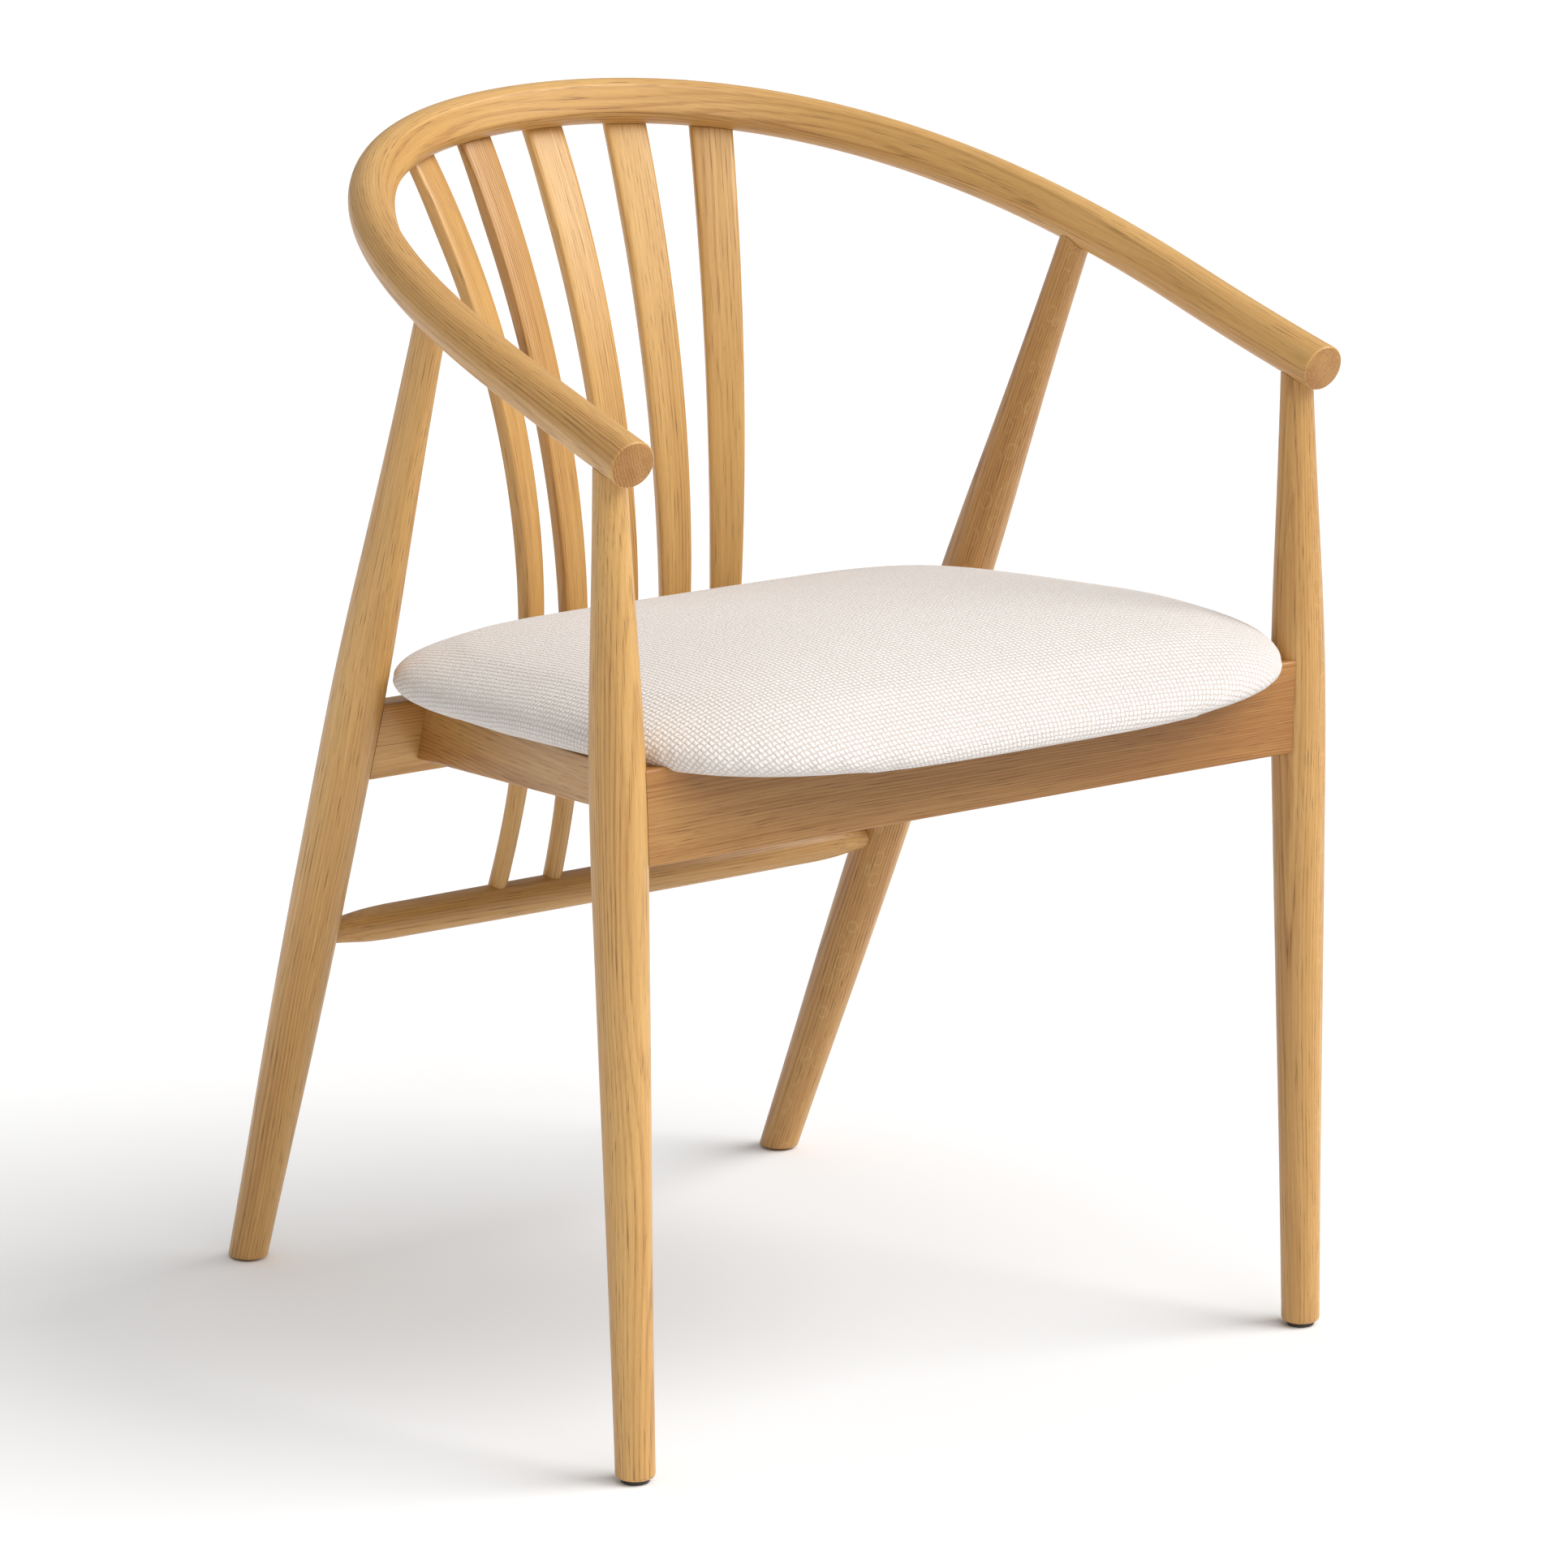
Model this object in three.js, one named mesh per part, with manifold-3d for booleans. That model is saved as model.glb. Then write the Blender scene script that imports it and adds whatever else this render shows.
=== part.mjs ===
// Wooden armchair: a bent oak bow carried by four turned legs, five bent back slats between the
// bow and a rear stretcher, a rail frame under the seat and an upholstered seat pad.
//
// Millimetres. +Z is up, the chair faces -Y, and X = 0 is its plane of symmetry.
// The chair is drawn with Y = 0 on the front feet and moved so that the origin ends up on the
// floor at the middle of its footprint.

import * as THREE from "three";
import { mergeVertices } from "three/addons/utils/BufferGeometryUtils.js";
import Module from "manifold-3d";

// ---------------------------------------------------------------- driving dimensions

const MIDDLE_OF_DEPTH = 235.5; // from the front feet's axis back to the middle of the footprint
const GAP = 0.3; // clearance between pieces that touch

const FRONT_FOOT_X = 262.5; // half the front feet's spacing
const FRONT_LEAN = new THREE.Vector2(0.0008, 0.0335); // sideways and backward run per unit of height
const REAR_FOOT_X = 218.5; // half the rear feet's spacing
const REAR_FOOT_Y = 523;
const REAR_LEAN = new THREE.Vector2(0.0462, -0.4245); // spreads outward, rakes forward going up
const REAR_RAKE = Math.atan(0.4245);

const BOW_HEIGHT_AT_FEET = 630.7; // height of the bow's plane above the front feet
const BOW_SLOPE = 0.2754; // rise of the bow's plane per unit of depth
const BOW_RADIUS = 15;
const BOW_HALF_WIDTH = 261.2;
const BOW_END = -5; // start of the arms, along the sloping plane
const BOW_END_SPREAD = 2.5; // the arms turn outward by this much towards their ends
const BOW_END_LIFT = 3; // and upward
const BOW_BEND_START = 124.5; // where the arms begin to bend round the back
const BOW_APEX = 498.7; // middle of the back, along the sloping plane
const BOW_HANDLE_SIDE = 316; // Bezier handle at the arm
const BOW_HANDLE_BACK = 106; // Bezier handle at the back
const BOW_FLAT_ANGLE = THREE.MathUtils.degToRad(31.4); // the flat faces the sitter, this far up
const BOW_FLAT_HALF_ANGLE = THREE.MathUtils.degToRad(36); // and takes this much of the round
const BOW_FLAT_START = 0.06; // share of the bow's length where the flat begins to fade in
const BOW_FLAT_FULL = 0.243; // share of the bow's length where it has its full depth

const SEAT_FRONT_Y = 2; // front face of the front rail
const SEAT_HEIGHT = 444.3; // top of the front rail's front edge
const SEAT_PITCH = Math.atan(0.0826); // seat frame falls towards the back
const RAIL_THICKNESS = 22;
const FRONT_RAIL_HEIGHT = 60.5;
const REAR_RAIL_HEIGHT = 61;
const REAR_RAIL_BOTTOM = 362; // height of the rear rail's lower front edge
const SIDE_RAIL_FRONT_X = 261; // outer face of a side rail at depth 0
const SIDE_RAIL_REAR_X = 188; // outer face of a side rail at the rear rail
const SIDE_RAIL_REAR_Y = 352; // depth at which SIDE_RAIL_REAR_X is measured
const SIDE_RAIL_FRONT_HEIGHT = 27;
const SIDE_RAIL_REAR_HEIGHT = 43;

const STRETCHER_HEIGHT = 248;
const STRETCHER_RADIUS = 11.5;
const STRETCHER_NECK_RADIUS = 8;
const STRETCHER_SWELL = 44; // length over which the neck grows to the full radius
const STRETCHER_TENON_RADIUS = 7;
const SLAT_TOP_WIDTH = 29;
const SLAT_TOP_THICKNESS = 10.5;
const SLAT_FOOT_DIAMETER = 12.6;

const PAD_HALF_WIDTH = 257;
const PAD_FRONT_Y = -65;
const PAD_BACK_Y = 364.5;
const PAD_WIDEST_Y = 137;
const PAD_SIDE = 27; // height of the pad's edge
const PAD_CROWN = 16; // further rise to the middle
const COVER_THICKNESS = 2;
const BOARD_THICKNESS = 9;
const DUST_COVER_THICKNESS = 1;

// ---------------------------------------------------------------- materials

const finish = (color, roughness, metalness = 0) =>
  new THREE.MeshStandardMaterial({ color, roughness, metalness });

const OAK = () => finish(0xc99a5f, 0.55);
const BEECH = () => finish(0xd0ab7c, 0.65);
const PLYWOOD = () => finish(0xb98f60, 0.7);
const CREAM_FABRIC = () => finish(0xe6dfd6, 0.95);
const FOAM = () => finish(0xe3d59b, 0.9);
const BLACK_LINING = () => finish(0x1d1c1b, 0.95);
const STEEL = () => finish(0xa9acae, 0.35, 1);
const NYLON = () => finish(0x2b2724, 0.5);

// ---------------------------------------------------------------- solids

const wasm = await Module();
wasm.setup();

function toSolid(geometry) {
  const bare = geometry.index ? geometry.toNonIndexed() : geometry.clone();
  bare.deleteAttribute("normal");
  bare.deleteAttribute("uv");
  const merged = mergeVertices(bare, 1e-4);
  const kept = [];
  const index = merged.index.array;
  for (let i = 0; i < index.length; i += 3) {
    const [a, b, c] = [index[i], index[i + 1], index[i + 2]];
    if (a !== b && b !== c && c !== a) kept.push(a, b, c);
  }
  return new wasm.Manifold(
    new wasm.Mesh({
      numProp: 3,
      vertProperties: new Float32Array(merged.attributes.position.array),
      triVerts: new Uint32Array(kept),
    }),
  );
}

function toGeometry(solid) {
  const mesh = solid.getMesh();
  const geometry = new THREE.BufferGeometry();
  geometry.setAttribute("position", new THREE.BufferAttribute(mesh.vertProperties, 3));
  geometry.setIndex(new THREE.BufferAttribute(mesh.triVerts, 1));
  geometry.computeVertexNormals();
  return geometry;
}

// Joins the added geometries to the first one, then cuts the removed ones away.
function shaped(geometry, { add = [], remove = [] }) {
  let solid = toSolid(geometry);
  for (const extra of add) solid = solid.add(toSolid(extra));
  for (const hole of remove) solid = solid.subtract(toSolid(hole));
  return toGeometry(solid);
}

const group = new THREE.Group();
const chair = new THREE.Group();
chair.position.y = -MIDDLE_OF_DEPTH;
group.add(chair);

function addPiece(name, geometry, material, parent = chair) {
  const mesh = new THREE.Mesh(geometry, material);
  mesh.name = name;
  parent.add(mesh);
  return mesh;
}

// A box with its own middle at (x, y, z).
function boxAt(width, depth, height, x, y, z) {
  return new THREE.BoxGeometry(width, depth, height).translate(x, y, z);
}

// A turned piece: the profile holds [radius, distance along the axis] and its axis runs
// from the point start towards the point end.
function turned(profile, start, end, segments) {
  const points = profile.map(([radius, along]) => new THREE.Vector2(radius, along));
  const geometry = new THREE.LatheGeometry(points, segments);
  const direction = end.clone().sub(start).normalize();
  const turn = new THREE.Quaternion().setFromUnitVectors(new THREE.Vector3(0, 1, 0), direction);
  return geometry.applyQuaternion(turn).translate(start.x, start.y, start.z);
}

function pin(radius, start, end, segments = 16) {
  const length = start.distanceTo(end);
  const profile = [[0, 0], [radius, 0], [radius, length], [0, length]];
  return turned(profile, start, end, segments);
}

// Sweeps an outline: a straight bar of unit length, whose vertices (x, y, t) place() moves.
function swept(outline, steps, place) {
  const geometry = new THREE.ExtrudeGeometry(outline, { depth: 1, steps, bevelEnabled: false });
  const position = geometry.attributes.position;
  const point = new THREE.Vector3();
  for (let i = 0; i < position.count; i += 1) {
    point.fromBufferAttribute(position, i);
    const moved = place(point.x, point.y, point.z);
    position.setXYZ(i, moved.x, moved.y, moved.z);
  }
  return geometry;
}

function roundOutline(radius, sides, firstAngle = 0) {
  const points = [];
  for (let i = 0; i < sides; i += 1) {
    const angle = firstAngle + (2 * Math.PI * i) / sides;
    points.push(new THREE.Vector2(radius * Math.cos(angle), radius * Math.sin(angle)));
  }
  return new THREE.Shape(points);
}

const smooth = (from, to, value) => THREE.MathUtils.smoothstep(value, from, to);

// ---------------------------------------------------------------- bow

const bowTilt = Math.atan(BOW_SLOPE);

// A point at a place on the bow's sloping plane, lifted square to the plane.
function onBowPlane(x, along, lift = 0) {
  return new THREE.Vector3(
    x,
    along * Math.cos(bowTilt) - lift * Math.sin(bowTilt),
    BOW_HEIGHT_AT_FEET + along * Math.sin(bowTilt) + lift * Math.cos(bowTilt),
  );
}

// One half of the bow, from the end of the arm to the middle of the back.
function halfBow(side) {
  const path = new THREE.CurvePath();
  const armEnd = onBowPlane(side * (BOW_HALF_WIDTH + BOW_END_SPREAD), BOW_END, BOW_END_LIFT);
  const armMiddle = onBowPlane(side * BOW_HALF_WIDTH, (BOW_END + BOW_BEND_START) / 2);
  const bendStart = onBowPlane(side * BOW_HALF_WIDTH, BOW_BEND_START);
  const sideHandle = onBowPlane(side * BOW_HALF_WIDTH, BOW_BEND_START + BOW_HANDLE_SIDE);
  const backHandle = onBowPlane(side * BOW_HANDLE_BACK, BOW_APEX);
  const apex = onBowPlane(0, BOW_APEX);
  path.add(new THREE.QuadraticBezierCurve3(armEnd, armMiddle, bendStart));
  path.add(new THREE.CubicBezierCurve3(bendStart, sideHandle, backHandle, apex));
  return path;
}

const leftBow = halfBow(-1);
const rightBow = halfBow(1);
const bowUp = new THREE.Vector3(0, -Math.sin(bowTilt), Math.cos(bowTilt));

// Point and outward direction of the bow's axis, t from 0 at the left arm to 1 at the right.
function bowFrame(t) {
  const half = t <= 0.5 ? leftBow : rightBow;
  const along = THREE.MathUtils.clamp(t <= 0.5 ? 2 * t : 2 - 2 * t, 0, 1);
  const tangent = half.getTangentAt(along);
  if (t > 0.5) tangent.negate();
  return {
    point: half.getPointAt(along),
    tangent,
    outward: new THREE.Vector3().crossVectors(bowUp, tangent).normalize(),
  };
}

// The arms are round; behind the sitter the bow has a flat that faces forward and a little up.
function bowGeometry(extra) {
  const radius = BOW_RADIUS + extra;
  const towardsFlat = Math.PI - BOW_FLAT_ANGLE;
  const flatDirection = new THREE.Vector2(Math.cos(towardsFlat), Math.sin(towardsFlat));
  const flatDepth = BOW_RADIUS * (1 - Math.cos(BOW_FLAT_HALF_ANGLE));
  return swept(roundOutline(radius, 20, towardsFlat), 46, (x, y, t) => {
    const depth = flatDepth * smooth(BOW_FLAT_START, BOW_FLAT_FULL, Math.min(t, 1 - t));
    const over = x * flatDirection.x + y * flatDirection.y - (radius - depth);
    const drop = Math.max(over, 0);
    const { point, outward } = bowFrame(t);
    point.addScaledVector(outward, x - drop * flatDirection.x);
    return point.addScaledVector(bowUp, y - drop * flatDirection.y);
  });
}

// ---------------------------------------------------------------- legs

const GLIDE_HEIGHT = { front: 2.5, rear: 1.2 };
const GLIDE_RADIUS = 9;
const LEG_TENON_RADIUS = 7;
const LEG_SIDES = 20;

// start and profile hold [radius, height] along a leg, from the foot to under the bow.
const LEGS = {
  front: {
    foot: [FRONT_FOOT_X, 0],
    lean: FRONT_LEAN,
    start: [[0, 0], [9.6, 0], [11.4, 4]],
    profile: [
      [12.4, 14], [13.4, 105], [15, 210], [16.6, 320], [17.5, 400],
      [17.3, 440], [16.1, 482], [13.9, 530], [11.7, 580], [10.1, 630],
    ],
  },
  rear: {
    foot: [REAR_FOOT_X, REAR_FOOT_Y],
    lean: REAR_LEAN,
    start: [[0, -15], [12.6, -15]], // turned long and sawn level with the floor
    profile: [
      [14.3, 75], [16.1, 160], [17.2, 250], [17.6, 350],
      [17.7, 430], [16.6, 482], [14.4, 540], [12.1, 600], [10.8, 655],
    ],
  },
};

function legPoint(kind, side, height) {
  const { foot, lean } = LEGS[kind];
  return new THREE.Vector3(side * (foot[0] + lean.x * height), foot[1] + lean.y * height, height);
}

// Height at which a leg's axis meets the bow's plane.
function legTopHeight(kind) {
  const { foot, lean } = LEGS[kind];
  return (BOW_HEIGHT_AT_FEET + BOW_SLOPE * foot[1]) / (1 - BOW_SLOPE * lean.y);
}

function legTurning(kind, side, extra) {
  const { lean, start, profile } = LEGS[kind];
  const stretch = Math.hypot(1, lean.x, lean.y);
  const top = legTopHeight(kind);
  const last = profile[profile.length - 1][0];
  const heights = [...start, ...profile, [last, top], [0, top]];
  const rings = heights.map(([radius, height]) => [radius > 0 ? radius + extra : 0, height * stretch]);
  return turned(rings, legPoint(kind, side, 0), legPoint(kind, side, 100), LEG_SIDES);
}

function legTenon(kind, side, extra) {
  const top = legTopHeight(kind);
  const radius = LEG_TENON_RADIUS + extra;
  return pin(radius, legPoint(kind, side, top - 30), legPoint(kind, side, top + 4 + extra));
}

function legGeometry(kind, side, mortises) {
  const foot = legPoint(kind, side, 0);
  const floorCut = boxAt(120, 120, 60, foot.x, foot.y, GLIDE_HEIGHT[kind] + GAP - 30);
  const shaft = shaped(legTurning(kind, side, 0), { remove: [bowGeometry(GAP), floorCut] });
  return shaped(shaft, { add: [legTenon(kind, side, 0)], remove: mortises });
}

function glideGeometry(kind, side) {
  const height = GLIDE_HEIGHT[kind];
  const { x, y } = legPoint(kind, side, height);
  const rim = [[GLIDE_RADIUS - 0.8, 0], [GLIDE_RADIUS, 0.8], [GLIDE_RADIUS, height]];
  const profile = [[0, 0], ...rim, [0, height]];
  return turned(profile, new THREE.Vector3(x, y, 0), new THREE.Vector3(x, y, 1), 16);
}

// ---------------------------------------------------------------- rails

const TENON_THICKNESS = 9;
const TENON_SHOULDER = 8; // rail left above and below a tenon
const TENON_SHORT_OF_AXIS = 4; // distance a rail tenon stops before the leg's axis
const TENON_ROOT = 30; // how far a tenon's block reaches back into its rail
const LEG_RADIUS = 17.5;
const DOWEL_RADIUS = 4;
const DOWEL_LENGTH = 30;

// Height of the top of the seat frame at depth y.
const frameTop = (y) => SEAT_HEIGHT - Math.tan(SEAT_PITCH) * (y - SEAT_FRONT_Y);

// Lays geometry drawn on z = 0 onto the sloping top of the seat frame.
const ontoFrame = (geometry) => geometry.rotateX(-SEAT_PITCH).translate(0, SEAT_FRONT_Y, SEAT_HEIGHT);

const aboveFrame = () => ontoFrame(boxAt(700, 1000, 60, 0, 200, 30));

// Rakes geometry drawn upright at y = 0 into the plane of the rear legs.
const ontoRake = (geometry) => geometry.rotateX(REAR_RAKE).translate(0, REAR_FOOT_Y, 0);

// Distance up the rake to the rear rail's lower edge.
const REAR_RAIL_LOW =
  (REAR_RAIL_BOTTOM + (RAIL_THICKNESS / 2) * Math.sin(REAR_RAKE)) / Math.cos(REAR_RAKE);
const REAR_RAIL_MIDDLE = REAR_RAIL_LOW + REAR_RAIL_HEIGHT / 2;
const REAR_RAIL_HALF = REAR_FOOT_X + REAR_LEAN.x * 380; // to the rear legs' axes

function railTenon(side, axisX, height, extra) {
  const inner = axisX - TENON_ROOT;
  const outer = axisX - TENON_SHORT_OF_AXIS + extra;
  const tall = height - 2 * TENON_SHOULDER + 2 * extra;
  return boxAt(outer - inner, TENON_THICKNESS + 2 * extra, tall, (side * (outer + inner)) / 2, 0, 0);
}

const frontRailPlace = (geometry) =>
  geometry.translate(0, SEAT_FRONT_Y + RAIL_THICKNESS / 2, SEAT_HEIGHT - FRONT_RAIL_HEIGHT / 2);

const rearRailPlace = (geometry) => ontoRake(geometry.translate(0, 0, REAR_RAIL_MIDDLE));

const frontRailTenon = (side, extra) =>
  frontRailPlace(railTenon(side, FRONT_FOOT_X, FRONT_RAIL_HEIGHT, extra));

const rearRailTenon = (side, extra) =>
  rearRailPlace(railTenon(side, REAR_RAIL_HALF, REAR_RAIL_HEIGHT, extra));

// A board between two legs, coped to their round sides, with a tenon at each end.
function railGeometry(kind, halfLength, height, place, tenon, holes) {
  const overlap = 8; // the board first reaches into the legs, then is coped
  const board = place(boxAt(2 * (halfLength - overlap), RAIL_THICKNESS, height, 0, 0, 0));
  const copes = [-1, 1].map((side) => legTurning(kind, side, GAP));
  const coped = shaped(board, { remove: [aboveFrame(), ...copes] });
  return shaped(coped, { add: [tenon(-1, 0), tenon(1, 0)], remove: holes });
}

const SIDE_SPLAY = (SIDE_RAIL_FRONT_X - SIDE_RAIL_REAR_X) / SIDE_RAIL_REAR_Y;

// Outer face of a side rail at depth y, for the right-hand rail.
const sideRailOuter = (y) => SIDE_RAIL_FRONT_X - SIDE_SPLAY * y;

// Everything from the rear rail's front face backwards.
const behindRearRail = () => ontoRake(boxAt(700, 200, 900, 0, 100 - RAIL_THICKNESS / 2 - GAP, 400));

const SIDE_TENON_END = 18.8; // depth at which a side rail's front tenon stops
const SIDE_TENON_HEIGHT = 14;
const SIDE_TENON_BELOW_TOP = 13; // from the top of the frame to the tenon's middle
const SIDE_DOWEL_Y = 341; // depth of the lower dowel's middle
const SIDE_DOWEL_Z = 387; // and its height
const SIDE_DOWEL_SPACING = 16; // height of the upper dowel above the lower one
const SIDE_DOWEL_SHIFT = 2; // a dowel lies this much deeper in the rear rail

function sideRailTenon(side, extra) {
  const start = SIDE_TENON_END - extra;
  const end = SIDE_TENON_END + TENON_ROOT;
  const x = side * (sideRailOuter(LEG_RADIUS) - RAIL_THICKNESS / 2);
  const middleZ = frameTop(end) - SIDE_TENON_BELOW_TOP;
  const width = TENON_THICKNESS + 2 * extra;
  return boxAt(width, end - start, SIDE_TENON_HEIGHT + 2 * extra, x, (start + end) / 2, middleZ);
}

// Dowels from the end of a side rail into the rear rail; row 0 is the lower one.
function sideRailDowel(side, row, extra) {
  const rise = SIDE_DOWEL_SPACING * row;
  const across = new THREE.Vector3(side * SIDE_SPLAY, -1, 0).normalize();
  const middle = new THREE.Vector3(
    side * (sideRailOuter(SIDE_DOWEL_Y) - RAIL_THICKNESS / 2),
    SIDE_DOWEL_Y - rise * Math.tan(REAR_RAKE),
    SIDE_DOWEL_Z + rise,
  );
  const half = DOWEL_LENGTH / 2 + extra;
  const inRail = middle.clone().addScaledVector(across, half - SIDE_DOWEL_SHIFT);
  const inRear = middle.clone().addScaledVector(across, -half - SIDE_DOWEL_SHIFT);
  return pin(DOWEL_RADIUS + extra, inRear, inRail, 10);
}

function sideRailGeometry(side, holes) {
  const startY = SEAT_FRONT_Y + RAIL_THICKNESS + GAP;
  const endY = SIDE_RAIL_REAR_Y + RAIL_THICKNESS; // inside the rear rail, then cut off
  const bottomSlope =
    (frameTop(SIDE_RAIL_REAR_Y) - SIDE_RAIL_REAR_HEIGHT - frameTop(0) + SIDE_RAIL_FRONT_HEIGHT) /
    SIDE_RAIL_REAR_Y;
  const bottomAt = (y) => frameTop(0) - SIDE_RAIL_FRONT_HEIGHT + bottomSlope * y;
  const face = new THREE.Shape([
    new THREE.Vector2(startY, bottomAt(startY)),
    new THREE.Vector2(endY, bottomAt(endY)),
    new THREE.Vector2(endY, frameTop(endY)),
    new THREE.Vector2(startY, frameTop(startY)),
  ]);
  const board = swept(face, 1, (y, z, t) => {
    const inward = side > 0 ? t : 1 - t; // keeps the faces pointing out on both sides
    return new THREE.Vector3(side * (sideRailOuter(y) - RAIL_THICKNESS * (1 - inward)), y, z);
  });
  const trimmed = shaped(board, { remove: [behindRearRail(), legTurning("front", side, GAP)] });
  return shaped(trimmed, { add: [sideRailTenon(side, 0)], remove: holes });
}

// ---------------------------------------------------------------- rear stretcher

const stretcherY = REAR_FOOT_Y + REAR_LEAN.y * STRETCHER_HEIGHT;
const stretcherHalf = REAR_FOOT_X + REAR_LEAN.x * STRETCHER_HEIGHT; // to the rear legs' axes

function stretcherTenon(side, extra) {
  const outer = stretcherHalf - TENON_SHORT_OF_AXIS + extra;
  const start = new THREE.Vector3(side * (outer - TENON_ROOT), stretcherY, STRETCHER_HEIGHT);
  return pin(STRETCHER_TENON_RADIUS + extra, start, start.clone().setX(side * outer));
}

function stretcherGeometry(holes) {
  const shoulder = stretcherHalf - 10; // inside the leg's surface, then coped
  const radiusAt = (share) =>
    THREE.MathUtils.lerp(STRETCHER_NECK_RADIUS, STRETCHER_RADIUS, smooth(0, 1, share));
  const swell = [0, 1 / 3, 2 / 3, 1].map((share) => [radiusAt(share), STRETCHER_SWELL * share]);
  const half = [[0, 0], ...swell];
  const otherHalf = half.map(([radius, along]) => [radius, 2 * shoulder - along]).reverse();
  const start = new THREE.Vector3(-shoulder, stretcherY, STRETCHER_HEIGHT);
  const spindle = turned([...half, ...otherHalf], start, start.clone().setX(0), 16);
  const copes = [-1, 1].map((side) => legTurning("rear", side, GAP));
  const coped = shaped(spindle, { remove: copes });
  return shaped(coped, { add: [stretcherTenon(-1, 0), stretcherTenon(1, 0)], remove: holes });
}

// ---------------------------------------------------------------- back slats

const SLAT_LOW = 252; // height of the Bezier's start, where a slat enters the stretcher
const SLAT_HIGH = 740; // height of the Bezier's end, just under the bow
const SLAT_FOOT_DEPTH = 8; // how far a slat's round foot goes into the stretcher
const SLAT_HEAD_BELOW_AXIS = 6; // a slat ends this far below the height of the bow's axis
const SLAT_FOOT_Y = 419.7;

// Control values of each slat's centre line: sideways and back, for the middle slat and the
// pair beside it and the outer pair. angle is how far a slat turns to face the sitter.
const SLATS = [
  { x: [0, 0, 0, 0], y: [SLAT_FOOT_Y, 372.1, 385.3, 481], angle: 0 },
  { x: [41.4, 36.7, 41.6, 59.3], y: [SLAT_FOOT_Y, 367.8, 386.8, 473.3], angle: 15.3 },
  { x: [85.4, 70.5, 73.5, 115], y: [SLAT_FOOT_Y, 367.6, 370.6, 454.7], angle: 27.5 },
];

const bezier = ([a, b, c, d], t) =>
  (1 - t) ** 3 * a + 3 * (1 - t) ** 2 * t * b + 3 * (1 - t) * t ** 2 * c + t ** 3 * d;

function slatCentre(number, height) {
  const { x, y } = SLATS[Math.abs(number)];
  const t = (height - SLAT_LOW) / (SLAT_HIGH - SLAT_LOW);
  return new THREE.Vector3(Math.sign(number) * bezier(x, t), bezier(y, t), height);
}

// Height of the bow's axis above a slat.
function bowHeightAtSlat(number) {
  const reach = Math.abs(SLATS[Math.abs(number)].x[3]);
  let t = 0.5;
  while (bowFrame(t).point.x < reach) t += 0.002;
  return bowFrame(t).point.z;
}

function slatWidth(height) {
  const up = THREE.MathUtils.clamp((height - SLAT_LOW) / (SLAT_HIGH - SLAT_LOW), 0, 1);
  return THREE.MathUtils.lerp(SLAT_FOOT_DIAMETER, SLAT_TOP_WIDTH, up ** 0.8);
}

function slatThickness(height) {
  const up = (height - SLAT_LOW) / (SLAT_HIGH - SLAT_LOW);
  return THREE.MathUtils.lerp(SLAT_FOOT_DIAMETER, SLAT_TOP_THICKNESS, up);
}

// Share of the back half's thickness left at a height: a slat leans away from the bow's axis, so
// its back is pared away to end inside the bow.
const slatBackShare = (height) => 1 - 0.5 * smooth(690, 750, height);

// Round at the foot, a rounded rectangle at the head; widthOff and thickOff pare it down.
function slatBar(number, low, high, widthOff, thickOff) {
  const angle = THREE.MathUtils.degToRad(SLATS[Math.abs(number)].angle) * Math.sign(number);
  return swept(roundOutline(1, 10), 10, (x, y, t) => {
    const height = THREE.MathUtils.lerp(low, high, t);
    const square = 2 / (2 + 2.5 * smooth(300, 500, height));
    const across = Math.sign(x) * Math.abs(x) ** square * (slatWidth(height) - widthOff) / 2;
    const half = (Math.abs(y) ** square * (slatThickness(height) - thickOff)) / 2;
    const through = y > 0 ? half * slatBackShare(height) : -half;
    const along = slatCentre(number, height + 1).sub(slatCentre(number, height - 1)).normalize();
    const sideways = new THREE.Vector3(Math.cos(angle), -Math.sin(angle), 0);
    const forward = new THREE.Vector3().crossVectors(along, sideways).normalize();
    const centre = slatCentre(number, height);
    return centre.addScaledVector(sideways, across).addScaledVector(forward, through);
  });
}

const slatTenonEnd = (number) => bowHeightAtSlat(number) - SLAT_HEAD_BELOW_AXIS;

const slatTenon = (number, extra) =>
  slatBar(number, SLAT_HIGH - 40, slatTenonEnd(number) + extra, 8 - 2 * extra, 3 - 2 * extra);

function slatGeometry(number) {
  const foot = SLAT_LOW - SLAT_FOOT_DEPTH;
  const bar = slatBar(number, foot, slatTenonEnd(number), 0, 0);
  const shouldered = shaped(bar, { remove: [bowGeometry(GAP)] });
  return shaped(shouldered, { add: [slatTenon(number, 0)], remove: [] });
}

// The hole in the stretcher for a slat's round foot.
function slatSocket(number) {
  const bottom = slatCentre(number, SLAT_LOW - SLAT_FOOT_DEPTH - 1);
  return pin(SLAT_FOOT_DIAMETER / 2 + 2 * GAP, bottom, slatCentre(number, SLAT_LOW + 12), 12);
}

// ---------------------------------------------------------------- corner blocks and screws

const BLOCK_LEG = 46; // length of a front corner block along each rail
const BLOCK_HEIGHT = 22;
const BLOCK_NOSE = 8; // width of a block's narrow ends
const SCREW_RADIUS = 2;
const SCREW_HEAD_RADIUS = 4;
const SCREW_CLEARANCE = 0.4;

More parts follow.
